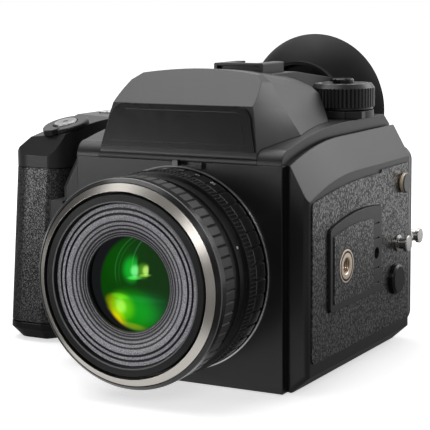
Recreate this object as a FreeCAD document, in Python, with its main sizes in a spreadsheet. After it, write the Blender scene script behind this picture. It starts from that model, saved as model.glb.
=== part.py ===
import FreeCAD, Part
import math
import os
import Sketcher

# A medium format single-lens reflex film camera with its standard lens, in millimetres.
# The origin is at the mouth of the tripod socket in the base, +Z is up and the lens looks
# along -Y. "Left" and "right" are the photographer's, so the left side is at +X.

Vector = FreeCAD.Vector
document = FreeCAD.newDocument("FilmCamera")
sheet = document.addObject("Spreadsheet::Sheet", "Dimensions")


class Size:
    """A number together with the sheet formula that gives it."""

    def __init__(self, value, formula):
        self.value = float(value)
        self.formula = formula

    @staticmethod
    def of(other):
        return other if isinstance(other, Size) else Size(other, repr(float(other)))

    def joined(self, sign, other, value):
        return Size(value, "(%s %s %s)" % (self.formula, sign, other.formula))

    def __add__(self, other):
        other = Size.of(other)
        return self.joined("+", other, self.value + other.value)

    def __radd__(self, other):
        return Size.of(other) + self

    def __sub__(self, other):
        other = Size.of(other)
        return self.joined("-", other, self.value - other.value)

    def __rsub__(self, other):
        return Size.of(other) - self

    def __mul__(self, other):
        other = Size.of(other)
        return self.joined("*", other, self.value * other.value)

    def __rmul__(self, other):
        return Size.of(other) * self

    def __truediv__(self, other):
        other = Size.of(other)
        return self.joined("/", other, self.value / other.value)

    def __neg__(self):
        return Size(-self.value, "(0 - %s)" % self.formula)


class Sizes:
    """The sheet's rows: each driving dimension becomes an attribute of this object."""

    row = 0

    def add(self, heading, table):
        Sizes.row += 1
        sheet.set("A%d" % Sizes.row, heading)
        for name, number in table.items():
            Sizes.row += 1
            sheet.set("A%d" % Sizes.row, name)
            sheet.set("B%d" % Sizes.row, repr(number))
            sheet.setAlias("B%d" % Sizes.row, name)
            setattr(self, name, Size(number, "Dimensions." + name))


BODY = {
    "front_y": -45.0,
    "cheek_y": -42.3,
    "seam_y": 53.0,
    "core_half": 42.8,
    "pod_thick": 8.8,
    "floor_z": 3.0,
    "shoulder_z": 81.6,
    "shoulder_radius": 5.6,
    "deck_z": 92.8,
    "deck_start_y": 10.0,
    "deck_end_y": 47.0,
    "deck_rear_z": 88.5,
    "pod_front_z": 81.6,
    "pod_top_z": 88.2,
    "bevel_land": 0.5,
    "bevel_down": 12.4,
    "foot_bevel_land": 0.7,
    "foot_bevel_up": 6.1,
    "corner_round": 2.5,
    "cover_wall": 2.2,
    "groove_wide": 1.3,
    "groove_deep": 1.2,
    "cheek_round": 2.0,
    "index_x": 10.3,
    "index_z": 81.6,
    "index_half": 1.4,
    "index_long": 2.3,
    "index_rise": 1.5,
    "beyond": 2.0,
    "cut_reach": 60.0,
}

CHAMBERS = {
    "lens_z": 42.2,
    "chamber_wall": 7.8,
    "chamber_low_z": 5.0,
    "chamber_high_z": 79.0,
    "gate_front_y": 24.0,
    "film_y": 26.6,
    "gate_half_width": 28.5,
    "gate_half_height": 20.9,
    "film_chamber_wall": 5.2,
    "film_chamber_low_z": 6.5,
    "film_chamber_high_z": 78.6,
    "prism_well_half": 30.0,
    "prism_well_front_y": -33.0,
    "prism_well_rear_y": 17.5,
    "tunnel_half": 11.0,
    "tunnel_low_z": 86.0,
    "tunnel_high_z": 101.0,
}

PRISM_HOUSING = {
    "hood_front_y": -45.4,
    "plate_low_y": -45.2,
    "plate_high_y": -40.4,
    "plate_high_z": 101.7,
    "ridge_y": -24.6,
    "ridge_z": 113.9,
    "hood_rear_y": 15.0,
    "hood_rear_foot_y": 7.0,
    "hood_front_low_half": 33.0,
    "hood_front_mid_half": 28.2,
    "hood_front_top_half": 26.8,
    "hood_front_top_z": 110.0,
    "hood_front_crown_half": 23.6,
    "hood_front_crown_z": 112.7,
    "hood_front_crown_radius": 200.0,
    "hood_middle_y": -23.0,
    "hood_middle_low_half": 41.0,
    "hood_middle_low_z": 88.5,
    "hood_middle_mid_half": 33.0,
    "hood_middle_mid_z": 100.0,
    "hood_middle_top_half": 27.6,
    "hood_middle_top_z": 109.4,
    "hood_middle_crown_half": 24.2,
    "hood_middle_crown_z": 112.0,
    "hood_middle_crown_radius": 160.0,
    "hood_rear_low_half": 38.5,
    "hood_rear_low_z": 90.0,
    "hood_rear_mid_half": 33.6,
    "hood_rear_mid_z": 97.0,
    "hood_rear_top_half": 29.2,
    "hood_rear_top_z": 102.8,
    "hood_rear_crown_half": 26.2,
    "hood_rear_crown_z": 105.2,
    "hood_rear_crown_radius": 62.0,
    "prism_clearance": 0.8,
    "neck_half": 16.0,
    "neck_end_y": 55.0,
    "neck_end_z": 106.5,
    "neck_front_y": 0.0,
    "neck_slope_y": 22.0,
    "plate_thick": 0.9,
    "plate_low_half": 31.9,
    "plate_high_half": 27.6,
    "plate_foot": 4.3,
    "plate_head": 20.5,
    "plate_corner": 6.0,
    "panel_margin": 2.2,
    "panel_rise": 0.3,
    "panel_corner": 3.0,
}

HOT_SHOE = {
    "shoe_front_y": 3.8,
    "shoe_length": 18.0,
    "shoe_half": 10.7,
    "shoe_floor_z": 110.6,
    "shoe_floor": 0.8,
    "shoe_slot_half": 9.3,
    "shoe_slot_height": 2.1,
    "shoe_mouth_half": 6.3,
    "shoe_lip": 1.0,
    "shoe_stop": 2.0,
    "shoe_bridge": 4.2,
    "shoe_round": 0.6,
    "shoe_rail_gap": 1.0,
    "shoe_seat_gap": 0.3,
}

EYEPIECE = {
    "eyepiece_half": 14.5,
    "eyepiece_low_z": 81.2,
    "eyepiece_high_z": 104.5,
    "eyepiece_end_y": 60.5,
    "eyepiece_glass_y": 56.0,
    "eyepiece_glass_thick": 3.0,
    "eyecup_z": 91.7,
    "eyecup_start_y": 56.3,
    "eyecup_end_y": 74.7,
    "eyecup_tube_radius": 21.0,
    "eyecup_rim_radius": 31.9,
    "eyecup_wall": 1.4,
    "eyecup_hole_radius": 14.0,
    "eyecup_web": 1.7,
    "eyecup_flare_radius": 30.0,
    "eyecup_bend_y": 59.5,
    "eyecup_edge": 0.4,
    "eyecup_trim_z": 80.6,
}

GRIP = {
    "grip_out_x": -97.3,
    "grip_front_y": -15.0,
    "grip_join_y": 0.0,
    "grip_recess_y": 6.0,
    "grip_front_corner": 10.0,
    "grip_rear_corner": 8.0,
    "grip_valley_corner": 16.0,
    "grip_nose_x": -78.0,
    "grip_cheek_out": 8.0,
    "grip_cheek_y": -7.0,
    "grip_valley_out": 8.4,
    "grip_skin": 1.0,
    "grip_flare_out": 4.2,
    "grip_flare_front": 2.2,
    "grip_leather_edge": 0.4,
    "grip_base_z": 7.2,
    "grip_seam_z": 71.8,
    "grip_top_z": 91.3,
    "grip_brow_z": 76.6,
    "grip_brow_lean": 8.0,
    "grip_brow_rise": 17.0,
    "grip_bevel_low_z": 75.5,
    "grip_bevel_x": -84.5,
    "grip_bevel_high_z": 87.0,
    "grip_bevel_far_x": -78.5,
    "grip_bevel_far_z": 101.3,
    "grip_base_chamfer": 4.5,
    "button_x": -77.0,
    "button_y": -2.0,
    "button_z": 87.4,
    "button_tilt": 15.4,
    "button_radius": 4.9,
    "button_rise": 2.6,
    "button_travel": 1.2,
    "button_play": 0.3,
    "button_stem_radius": 3.7,
    "button_head_low": 0.5,
    "button_edge": 0.5,
    "button_dimple_radius": 1.3,
    "button_dimple_floor": 0.9,
    "ring_radius": 9.5,
    "ring_edge": 0.4,
    "ring_rise": 1.9,
    "ring_skirt_radius": 6.9,
    "ring_bore_radius": 5.3,
    "ring_skirt_depth": 2.5,
    "well_depth": 4.6,
    "tab_low_x": -4.6,
    "tab_high_x": 2.0,
    "tab_reach": 1.6,
    "tab_corner": 1.4,
    "tab_root": 1.8,
    "tab_rise": 0.6,
}

FITS = {
    "running_gap": 0.06,
    "slide_gap": 0.3,
    "parting_gap": 0.2,
}

BATTERY_HOLDER = {
    "holder_x": -71.0,
    "holder_y": 27.0,
    "holder_half_x": 22.3,
    "holder_half_y": 15.2,
    "holder_plate": 2.0,
    "holder_web": 0.4,
    "tray_inset": 5.4,
    "cell_radius": 7.1,
    "cell_pitch": 14.6,
    "cell_length": 49.0,
    "nub_radius": 2.75,
    "nub_height": 1.2,
    "motor_x": -84.0,
    "motor_y": 0.0,
    "motor_radius": 7.6,
    "motor_low_z": 14.0,
    "motor_high_z": 56.0,
    "motor_shaft": 4.0,
    "motor_shaft_radius": 1.5,
}

LEFT_SIDE = {
    "leather_thick": 0.6,
    "leather_front_y": -39.8,
    "leather_rear_y": 51.0,
    "leather_low_z": 10.6,
    "leather_front_z": 68.3,
    "leather_step_y": 22.0,
    "leather_mid_z": 72.4,
    "leather_rear_z": 73.6,
    "leather_arc_radius": 320.0,
    "leather_notch": 1.5,
    "leather_corner": 2.0,
    "side_plate_rise": 1.7,
    "side_plate_front_y": -27.0,
    "side_plate_rear_y": 20.5,
    "side_plate_low_z": 27.0,
    "side_plate_front_z": 57.0,
    "side_plate_rear_z": 60.0,
    "side_plate_arc_radius": 120.0,
    "side_plate_corner": 1.6,
    "plate_slot_pitch": 5.8,
    "plate_slot_long": 6.5,
    "plate_slot_wide": 0.6,
    "plate_slot_deep": 0.5,
    "insert_margin": 2.6,
    "insert_rear_y": 11.5,
    "insert_high_z": 54.5,
    "insert_rise": 1.6,
    "insert_thick": 0.4,
    "side_socket_y": -13.8,
    "socket_flange_radius": 6.2,
    "socket_flange": 0.5,
    "socket_sleeve_radius": 4.8,
    "tripod_thread_radius": 3.175,
    "pin_hole_radius": 2.3,
    "pin_hole_y": 15.6,
    "lug_y": 44.1,
    "lug_z": 66.0,
    "lug_radius": 4.0,
    "lug_neck_radius": 3.0,
    "lug_neck": 1.2,
    "lug_head": 1.6,
    "lug_edge": 0.4,
    "stud_y": 39.6,
    "stud_z": 42.4,
    "stud_head_radius": 3.3,
    "stud_neck_radius": 2.3,
    "stud_length": 5.6,
    "stud_head": 1.3,
    "stud_taper": 0.4,
    "stud_edge": 0.3,
    "cap_y": 36.5,
    "cap_z": 28.4,
    "cap_radius": 6.0,
    "cap_rise": 3.0,
    "cap_edge": 0.8,
}

LENS_MOUNT = {
    "mount_face_y": -45.6,
    "mount_flange_radius": 37.8,
    "mount_sleeve_radius": 36.0,
    "mount_bore_radius": 34.0,
    "mount_tab_radius": 31.8,
    "mount_rear_y": -42.4,
    "mount_tab_rear_y": -43.4,
    "tab_gap_half_angle": 33.0,
    "lug_half_angle": 24.0,
    "bayonet_lug_radius": 33.5,
    "bayonet_lug_front_y": -43.0,
    "bayonet_lug_rear_y": -41.8,
    "screw_circle_radius": 35.0,
    "screw_radius": 0.9,
    "screw_slot": 0.5,
    "screw_slot_depth": 0.6,
}

LENS = {
    "barrel_bore_radius": 32.06,
    "barrel_tube_radius": 33.6,
    "barrel_tube_front_y": -77.5,
    "lens_flange_radius": 36.4,
    "lens_flange_front_y": -46.3,
    "rear_tube_radius": 31.3,
    "rear_tube_wall": 3.4,
    "rear_tube_end_y": -39.6,
    "collar_radius": 37.0,
    "collar_front_y": -58.5,
    "collar_rear_y": -53.5,
    "band_front_y": -62.6,
    "band_radius": 35.5,
    "waist_front_y": -68.7,
    "waist_radius": 34.6,
    "aperture_front_y": -53.3,
    "aperture_rear_y": -46.5,
    "aperture_groove_wide": 1.3,
    "aperture_groove_deep": 0.5,
    "focus_rear_y": -69.0,
    "rubber_rear_y": -69.3,
    "rubber_front_y": -75.9,
    "rubber_radius": 37.0,
    "rubber_bore_radius": 35.6,
    "rubber_step": 0.4,
    "rubber_groove_wide": 1.1,
    "rubber_groove_deep": 0.6,
    "focus_front_y": -78.8,
    "focus_radius": 37.2,
    "focus_web": 0.5,
    "silver_seat_y": -79.2,
    "silver_edge_y": -80.3,
    "silver_front_y": -82.1,
    "silver_radius": 35.5,
    "silver_bore_radius": 32.9,
    "inner_radius": 32.0,
    "inner_edge": 0.3,
    "inner_front_y": -81.8,
    "inner_rear_y": -60.0,
    "inner_bore_radius": 27.0,
    "filter_radius": 29.0,
    "filter_depth": 1.6,
    "disc_pocket_radius": 28.7,
    "disc_radius": 28.4,
    "disc_face_y": -80.1,
    "disc_back_y": -77.6,
    "disc_groove": 0.6,
    "disc_groove_depth": 0.7,
    "disc_outer_groove_radius": 26.7,
    "disc_inner_groove_radius": 24.9,
    "cone_start_radius": 23.5,
    "cone_end_radius": 16.7,
    "cone_end_y": -78.6,
    "glass_radius": 18.0,
    "glass_gap": 0.02,
    "glass_apex_y": -77.8,
    "glass_curve_radius": 44.0,
    "glass_rear_y": -72.5,
    "rear_glass_radius": 16.0,
    "rear_glass_front_y": -52.0,
    "rear_glass_rear_y": -46.5,
    "rear_glass_curve_radius": 60.0,
    "cell_wall": 2.0,
}

REFLEX_AND_SHUTTER = {
    "box_gap": 0.1,
    "box_wall": 3.7,
    "box_low_z": 5.1,
    "box_inner_low_z": 9.0,
    "box_high_z": 74.5,
    "box_front_y": -39.3,
    "box_rear_y": 18.4,
    "screen_inset": 2.0,
    "screen_front_y": -31.0,
    "screen_rear_y": 15.0,
    "screen_thick": 2.0,
    "mirror_hinge_y": 13.5,
    "mirror_hinge_z": 64.0,
    "mirror_hinge_radius": 1.2,
    "mirror_side_gap": 1.7,
    "mirror_length": 52.0,
    "mirror_glass": 1.6,
    "mirror_holder": 1.4,
    "mirror_heel": 0.5,
    "mirror_angle": 45.0,
    "hinge_overlap": 1.0,
    "hinge_play": 0.6,
    "penta_half": 26.5,
    "penta_top_half": 20.5,
    "penta_shoulder_z": 93.0,
    "penta_top_z": 105.0,
    "penta_front_y": -31.0,
    "penta_front_z": 91.0,
    "penta_top_front_y": -21.0,
    "penta_top_rear_y": -3.0,
    "penta_rear_y": 4.5,
    "penta_rear_z": 99.0,
    "penta_heel_z": 84.0,
    "shutter_front_y": 18.6,
    "shutter_rear_y": 23.9,
    "shutter_wall": 0.8,
    "blade_half": 30.9,
    "blade_thick": 0.6,
    "blade_pitch": 1.2,
    "blade_height": 15.6,
    "blade_lap": 1.6,
    "blade_low_z": 20.3,
    "blade_gap": 0.35,
    "blade_park": 0.6,
    "blade_room": 2.4,
}

FILM_BACK = {
    "back_inset": 1.0,
    "back_low_z": 5.5,
    "back_high_z": 79.6,
    "back_rear_y": 60.3,
    "back_corner": 6.0,
    "back_edge": 2.4,
    "memo_half": 24.0,
    "memo_low_z": 25.0,
    "memo_high_z": 60.0,
    "memo_depth": 0.7,
    "insert_gap": 0.6,
    "insert_wall": 3.6,
    "insert_front_y": 30.2,
    "insert_low_z": 7.1,
    "insert_top_z": 78.0,
    "insert_skin": 1.2,
    "spool_y": 39.8,
    "spool_offset_z": 21.5,
    "spool_room_radius": 13.2,
    "spool_flange_radius": 11.9,
    "spool_core_radius": 5.0,
    "spool_flange": 1.0,
    "spool_end_gap": 0.8,
    "film_wound_radius": 10.7,
    "journal_radius": 2.5,
    "journal_length": 2.4,
    "pressure_front_y": 27.0,
    "pressure_thick": 1.4,
    "pressure_inset": 5.5,
    "pressure_half_height": 24.0,
    "pressure_corner": 2.0,
    "spring_pad_half": 8.0,
    "spring_pad_half_height": 4.0,
    "spring_pad_x": 16.0,
    "key_inset": 4.2,
    "key_z": 41.0,
    "key_shaft_radius": 2.0,
    "key_hub_radius": 3.6,
    "key_hub": 2.0,
    "key_taper": 0.4,
    "key_root": 3.7,
    "key_hole": 4.0,
    "key_rise": 7.6,
    "key_bar_radius": 2.3,
    "key_bar_half": 4.6,
    "key_knob_radius": 3.0,
    "key_knob": 1.4,
}

TOP_CONTROLS = {
    "dial_inset": 10.2,
    "dial_y": 30.0,
    "dial_radius": 12.4,
    "dial_top_radius": 11.2,
    "dial_skirt_radius": 11.7,
    "dial_low_z": 96.1,
    "dial_knurl_low_z": 97.0,
    "dial_knurl_high_z": 104.3,
    "dial_top_z": 106.0,
    "dial_hub_radius": 5.0,
    "dial_groove_wide": 0.9,
    "dial_groove_deep": 0.5,
    "dial_lock_radius": 4.2,
    "dial_lock_rise": 1.9,
    "dial_lock_depth": 3.6,
    "dial_lock_travel": 1.4,
    "dial_lock_edge": 0.5,
    "lever_radius": 12.0,
    "lever_low_z": 93.0,
    "lever_high_z": 95.7,
    "lever_tab_root": 6.0,
    "lever_tab_reach": 12.0,
    "lever_tab_tip_y": 18.6,
    "lever_tab_root_y": 22.0,
    "lever_tab_slope": 2.0,
    "exposure_inset": 11.3,
    "exposure_y": 30.0,
    "exposure_radius": 10.5,
    "exposure_high_z": 101.0,
    "exposure_low_z": 93.0,
    "exposure_hub_radius": 4.0,
    "exposure_edge": 0.6,
    "exposure_rim": 1.0,
    "lcd_half_x": 12.0,
    "lcd_half_y": 9.0,
    "lcd_out": 14.4,
    "lcd_y": 32.0,
    "lcd_rise": 0.5,
    "lcd_corner": 1.5,
    "release_rise": 6.9,
    "release_low_z": 18.0,
    "release_high_z": 63.5,
    "release_rear_y": -22.0,
    "release_button_z": 32.0,
    "release_button_radius": 2.7,
    "release_button_rise": 2.4,
    "release_travel": 1.5,
    "release_play": 0.4,
    "release_edge": 0.6,
    "release_corner": 1.5,
    "release_well": 5.0,
    "release_offset": 3.4,
}

d = Sizes()
d.add("Body", BODY)
d.add("Chambers", CHAMBERS)
d.add("Prism housing", PRISM_HOUSING)
d.add("Hot shoe", HOT_SHOE)
d.add("Eyepiece", EYEPIECE)
d.add("Grip", GRIP)
d.add("Fits", FITS)
d.add("Battery holder", BATTERY_HOLDER)
d.add("Left side", LEFT_SIDE)
d.add("Lens mount", LENS_MOUNT)
d.add("Lens", LENS)
d.add("Reflex and shutter", REFLEX_AND_SHUTTER)
d.add("Film back", FILM_BACK)
d.add("Top controls", TOP_CONTROLS)

# Sizes that follow from others

d.pod_half = d.core_half + d.pod_thick
d.bevel_out = d.pod_thick - d.groove_wide - d.bevel_land
d.foot_bevel_out = d.pod_thick - d.groove_wide - d.foot_bevel_land
d.chamber_half = d.core_half - d.chamber_wall
d.film_chamber_half = d.core_half - d.film_chamber_wall
d.box_half = d.chamber_half - d.box_gap
d.box_inner_half = d.box_half - d.box_wall
d.mirror_half = d.box_inner_half - d.mirror_side_gap
d.back_half = d.pod_half - d.back_inset
d.key_x = d.back_half - d.key_inset
d.grip_valley_x = -d.pod_half - d.grip_valley_out
d.tray_side_x = -d.core_half - d.tray_inset
d.release_out_x = -d.pod_half - d.release_rise
d.release_x = -d.pod_half - d.release_offset
d.screen_half = d.chamber_half - d.screen_inset
d.insert_half = d.film_chamber_half - d.insert_gap
d.pressure_half_width = d.insert_half - d.pressure_inset
d.spool_half = d.insert_half - d.insert_wall - d.spool_end_gap
d.dial_x = d.core_half - d.dial_inset
d.lever_tab_x = d.dial_x + d.lever_tab_root
d.lever_tab_end_x = d.dial_x + d.lever_tab_reach
d.exposure_x = -d.core_half + d.exposure_inset
d.lcd_x = -d.pod_half - d.lcd_out


# Drawing helpers

PLANE_AXES = {"XY": 1, "XZ": -1, "YZ": 1}


def bind(thing, path, size):
    thing.setExpression(path, Size.of(size).formula)


def new_body(label):
    body = document.addObject("PartDesign::Body", label)
    body.Label = label
    return body


def new_sketch(body, plane, offsets=(0, 0, 0)):
    """A sketch on one of the body's own planes, moved by offsets in the plane's axes."""
    sketch = body.newObject("Sketcher::SketchObject", body.Name + "_sketch")
    support = [part for part in body.Origin.OriginFeatures if part.Role == plane + "_Plane"][0]
    sketch.AttachmentSupport = [(support, "")]
    sketch.MapMode = "FlatFace"
    for axis, offset in zip("xyz", offsets):
        bind(sketch, "AttachmentOffset.Base." + axis, offset)
    return sketch


def arc_geometry(start, end, radius, side):
    """A minor arc from start to end; its centre is on the given side of travel."""
    across = end - start
    half = across.Length / 2.0
    normal = Vector(-across.y, across.x, 0).normalize()
    reach = math.sqrt(max(radius * radius - half * half, 0.0))
    turn = 1.0 if side == "left" else -1.0
    centre = (start + end) * 0.5 + normal * (reach * turn)
    first, last = (start, end) if side == "left" else (end, start)
    angles = [math.atan2(point.y - centre.y, point.x - centre.x) for point in (first, last)]
    circle = Part.Circle(centre, Vector(0, 0, 1), radius)
    return Part.ArcOfCircle(circle, angles[0], angles[1])


def draw_outline(sketch, corners):
    """A closed outline. A corner is (u, v), or (u, v, radius, side) where an arc follows it."""
    places = [Vector(Size.of(c[0]).value, Size.of(c[1]).value, 0) for c in corners]
    ends = []
    for index, corner in enumerate(corners):
        start, end = places[index], places[(index + 1) % len(corners)]
        if len(corner) == 4:
            shape = arc_geometry(start, end, Size.of(corner[2]).value, corner[3])
            line = sketch.addGeometry(shape, False)
            ends.append((line, 1, 2) if corner[3] == "left" else (line, 2, 1))
            row = sketch.addConstraint(
                Sketcher.Constraint("Radius", line, Size.of(corner[2]).value))
            bind(sketch, "Constraints[%d]" % row, corner[2])
        else:
            line = sketch.addGeometry(Part.LineSegment(start, end), False)
            ends.append((line, 1, 2))
    for index, corner in enumerate(corners):
        line, first, last = ends[index]
        after = ends[(index + 1) % len(corners)]
        sketch.addConstraint(Sketcher.Constraint("Coincident", line, last, after[0], after[1]))
        for kind, size in (("DistanceX", corner[0]), ("DistanceY", corner[1])):
            row = sketch.addConstraint(
                Sketcher.Constraint(kind, -1, 1, line, first, Size.of(size).value))
            bind(sketch, "Constraints[%d]" % row, size)


def draw_circle(sketch, u, v, radius):
    centre = Vector(Size.of(u).value, Size.of(v).value, 0)
    circle = Part.Circle(centre, Vector(0, 0, 1), Size.of(radius).value)
    line = sketch.addGeometry(circle, False)
    places = (("DistanceX", u), ("DistanceY", v))
    for kind, size in places:
        row = sketch.addConstraint(
            Sketcher.Constraint(kind, -1, 1, line, 3, Size.of(size).value))
        bind(sketch, "Constraints[%d]" % row, size)
    row = sketch.addConstraint(Sketcher.Constraint("Radius", line, Size.of(radius).value))
    bind(sketch, "Constraints[%d]" % row, radius)


def draw(sketch, shapes):
    """Each shape is a list of outline corners, or a (u, v, radius) circle."""
    for shape in shapes:
        if isinstance(shape, tuple):
            draw_circle(sketch, *shape)
        else:
            draw_outline(sketch, shape)


def rectangle(low_u, high_u, low_v, high_v):
    return [(low_u, low_v), (high_u, low_v), (high_u, high_v), (low_u, high_v)]


def pad(body, plane, low, high, *shapes):
    """A prism of the shapes between two coordinates along the plane's normal axis."""
    facing = PLANE_AXES[plane]
    sketch = new_sketch(body, plane, (0, 0, low * facing))
    draw(sketch, shapes)
    feature = body.newObject("PartDesign::Pad", body.Name + "_pad")
    feature.Profile = sketch
    bind(feature, "Length", high - low)
    feature.Reversed = facing < 0
    return feature


def cut(body, plane, low, high, *shapes):
    """Takes the prism of the shapes between two coordinates out of the body."""
    facing = PLANE_AXES[plane]
    start = high if facing > 0 else low
    sketch = new_sketch(body, plane, (0, 0, start * facing))
    draw(sketch, shapes)
    feature = body.newObject("PartDesign::Pocket", body.Name + "_cut")
    feature.Profile = sketch
    bind(feature, "Length", high - low)
    return feature


AXIS_PLANES = {
    "X": ("XZ", "H_Axis", lambda x, y, z: (x, z, -y)),
    "Y": ("YZ", "H_Axis", lambda x, y, z: (y, z, x)),
    "Z": ("XZ", "V_Axis", lambda x, y, z: (x, z, -y)),
}


def turned(body, axis, centre, *profiles, groove=False):
    """A shape turned about a line along X, Y or Z through centre. The profile's corners are
    (along, radius) for X and Y, and (radius, along) for Z, measured from the centre."""
    plane, line, place = AXIS_PLANES[axis]
    sketch = new_sketch(body, plane, place(*[Size.of(size) for size in centre]))
    draw(sketch, profiles)
    kind = "PartDesign::Groove" if groove else "PartDesign::Revolution"
    feature = body.newObject(kind, body.Name + "_turn")
    feature.Profile = sketch
    feature.ReferenceAxis = (sketch, [line])
    feature.Angle = 360.0
    return feature


def repeat(body, feature, axis, count):
    """Repeats a feature evenly round the given sketch axis."""
    pattern = body.newObject("PartDesign::PolarPattern", body.Name + "_ring")
    pattern.Originals = [feature]
    pattern.Axis = axis
    pattern.Angle = 360.0
    pattern.Occurrences = count
    body.Tip = pattern
    return pattern


def edges(body, test):
    """Names of the edges of the body's last feature that pass the test."""
    document.recompute()
    shape = body.Tip.Shape
    return ["Edge%d" % (number + 1) for number, edge in enumerate(shape.Edges) if test(edge)]


def runs_along(edge, axis):
    direction = edge.Vertexes[-1].Point - edge.Vertexes[0].Point
    if direction.Length < 1e-6:
        return False
    return abs(abs(direction.normalize().dot(axis)) - 1.0) < 1e-6


def near(value, size, tolerance=0.05):
    return abs(value - Size.of(size).value) < tolerance


def fillet(body, radius, test):
    names = edges(body, test)
    feature = body.newObject("PartDesign::Fillet", body.Name + "_fillet")
    feature.Base = (body.Group[body.Group.index(feature) - 1], names)
    bind(feature, "Radius", radius)
    body.Tip = feature
    return feature


def chamfer(body, size, test, other=None, flip=True):
    names = edges(body, test)
    feature = body.newObject("PartDesign::Chamfer", body.Name + "_chamfer")
    feature.Base = (body.Group[body.Group.index(feature) - 1], names)
    bind(feature, "Size", size)
    if other is not None:
        feature.ChamferType = "Two distances"
        feature.FlipDirection = flip
        bind(feature, "Size2", other)
    body.Tip = feature
    return feature


ALONG_X = Vector(1, 0, 0)
ALONG_Y = Vector(0, 1, 0)
ALONG_Z = Vector(0, 0, 1)
LENS_AXIS = (0, 0, d.lens_z)

APERTURE_GROOVE_COUNT = 40
RUBBER_GROOVE_COUNT = 60
SHUTTER_DIAL_GROOVE_COUNT = 48
EXPOSURE_DIAL_GROOVE_COUNT = 30
MOUNT_SCREW_COUNT = 5


# Body covers

def tangent_radius(run, drop):
    """The radius of an arc that leaves a level line and falls by drop over run."""
    return (run * run + drop * drop) / (drop * 2)


def deck_outline(low_z):
    """The side view of the centre of the body: a round shoulder at the front, then a deck that
    rises in a long arc."""
    shoulder_end = d.front_y + d.shoulder_radius
    shoulder_top = d.shoulder_z + d.shoulder_radius
    radius = tangent_radius(d.deck_start_y - shoulder_end, d.deck_z - shoulder_top)
    return [
        (d.cheek_y, low_z),
        (d.seam_y, low_z),
        (d.seam_y, d.deck_rear_z),
        (d.deck_end_y, d.deck_z),
        (d.deck_start_y, d.deck_z, radius, "left"),
        (shoulder_end, shoulder_top, d.shoulder_radius, "left"),
        (d.front_y, d.shoulder_z),
        (d.cheek_y, d.shoulder_z),
    ]


def make_main_housing():
    body = new_body("main_housing")
    pad(body, "YZ", -d.core_half, d.core_half, deck_outline(d.floor_z))
    cut(body, "XZ", d.cheek_y, d.gate_front_y,
        rectangle(-d.chamber_half, d.chamber_half, d.chamber_low_z, d.chamber_high_z))
    cut(body, "XZ", d.film_y, d.seam_y,
        rectangle(-d.film_chamber_half, d.film_chamber_half,
                  d.film_chamber_low_z, d.film_chamber_high_z))
    cut(body, "XZ", d.gate_front_y, d.film_y,
        rectangle(-d.gate_half_width, d.gate_half_width,
                  d.lens_z - d.gate_half_height, d.lens_z + d.gate_half_height))
    cut(body, "XY", d.chamber_high_z, d.deck_z,
        rectangle(-d.prism_well_half, d.prism_well_half,
                  d.prism_well_front_y, d.prism_well_rear_y))
    cut(body, "XZ", d.prism_well_rear_y, d.seam_y,
        rectangle(-d.tunnel_half, d.tunnel_half, d.tunnel_low_z, d.deck_z))
    return body


def make_front_cover():
    body = new_body("front_cover")
    pad(body, "XZ", d.front_y, d.cheek_y,
        rectangle(-d.core_half, d.core_half, 0, d.shoulder_z))
    cut(body, "XZ", d.front_y, d.cheek_y, (0, d.lens_z, d.mount_sleeve_radius))
    pad(body, "XZ", d.front_y - d.index_rise, d.front_y,
        rectangle(d.index_x - d.index_half, d.index_x + d.index_half,
                  d.index_z - d.index_long, d.index_z))
    return body


def make_base_plate():
    body = new_body("base_plate")
    pad(body, "XY", Size.of(0), d.floor_z,
        rectangle(-d.core_half, d.core_half, d.cheek_y, d.seam_y))
    cut(body, "XY", Size.of(0), d.floor_z, (0, 0, d.socket_sleeve_radius))
    return body


def make_side_cover(label, side, rear_y):
    """A side pod: bevelled above along the deck's curve, bevelled below, and hollow."""
    body = new_body(label)
    inner, outer = side * d.core_half, side * d.pod_half
    radius = tangent_radius(d.cheek_y, d.pod_top_z - d.pod_front_z)
    start_y = Size.of(0)
    edge = inner + side * d.groove_wide
    for near_x, far_x, sunk in ((edge, outer, Size.of(0)), (inner, edge, d.groove_deep)):
        front_y, top_z = d.cheek_y + sunk, d.pod_top_z - sunk
        top = [(start_y, top_z, radius, "left")]
        if rear_y.value > start_y.value:
            top = [(rear_y, top_z)] + top
        start_x, end_x = (near_x, far_x) if side > 0 else (far_x, near_x)
        pad(body, "YZ", start_x, end_x,
            [(front_y, 0), (rear_y, 0)] + top + [(front_y, d.pod_front_z)])
    cut(body, "YZ", inner if side > 0 else outer + d.cover_wall,
        outer - d.cover_wall if side > 0 else inner,
        rectangle(d.cheek_y + d.cover_wall, rear_y - d.cover_wall,
                  d.leather_low_z, d.leather_front_z - d.cover_wall))
    above = d.pod_front_z.value - 1.0
    chamfer(body, d.bevel_out,
            lambda e: near(e.BoundBox.XMin, outer) and near(e.BoundBox.XMax, outer)
            and e.BoundBox.ZMin > above, d.bevel_down, flip=False)
    chamfer(body, d.foot_bevel_out,
            lambda e: near(e.BoundBox.XMin, outer) and near(e.BoundBox.XMax, outer)
            and e.BoundBox.ZMax < 0.1, d.foot_bevel_up)
    fillet(body, d.cheek_round,
           lambda e: near(e.BoundBox.YMin, d.cheek_y) and near(e.BoundBox.YMax, d.cheek_y)
           and abs(e.BoundBox.XMin - edge.value) > 0.5 and e.BoundBox.ZLength > 1.0)
    return body


def make_side_cover_left():
    body = make_side_cover("side_cover_left", 1, d.seam_y)
    cut(body, "YZ", d.pod_half - d.cover_wall, d.pod_half,
        (d.side_socket_y, d.lens_z, d.socket_sleeve_radius))
    return body


def make_side_cover_right():
    return make_side_cover("side_cover_right", -1, d.grip_join_y)


# Prism housing

def hood_section(low, mid, top, crown, crown_radius):
    """A section across the hood, from the (half width, height) of its corners on one side."""
    right = [low, mid, top, (crown[0], crown[1], crown_radius, "left")]
    left = [(-half, height) for half, height in (crown, top, mid, low)]
    return right + left


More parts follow.
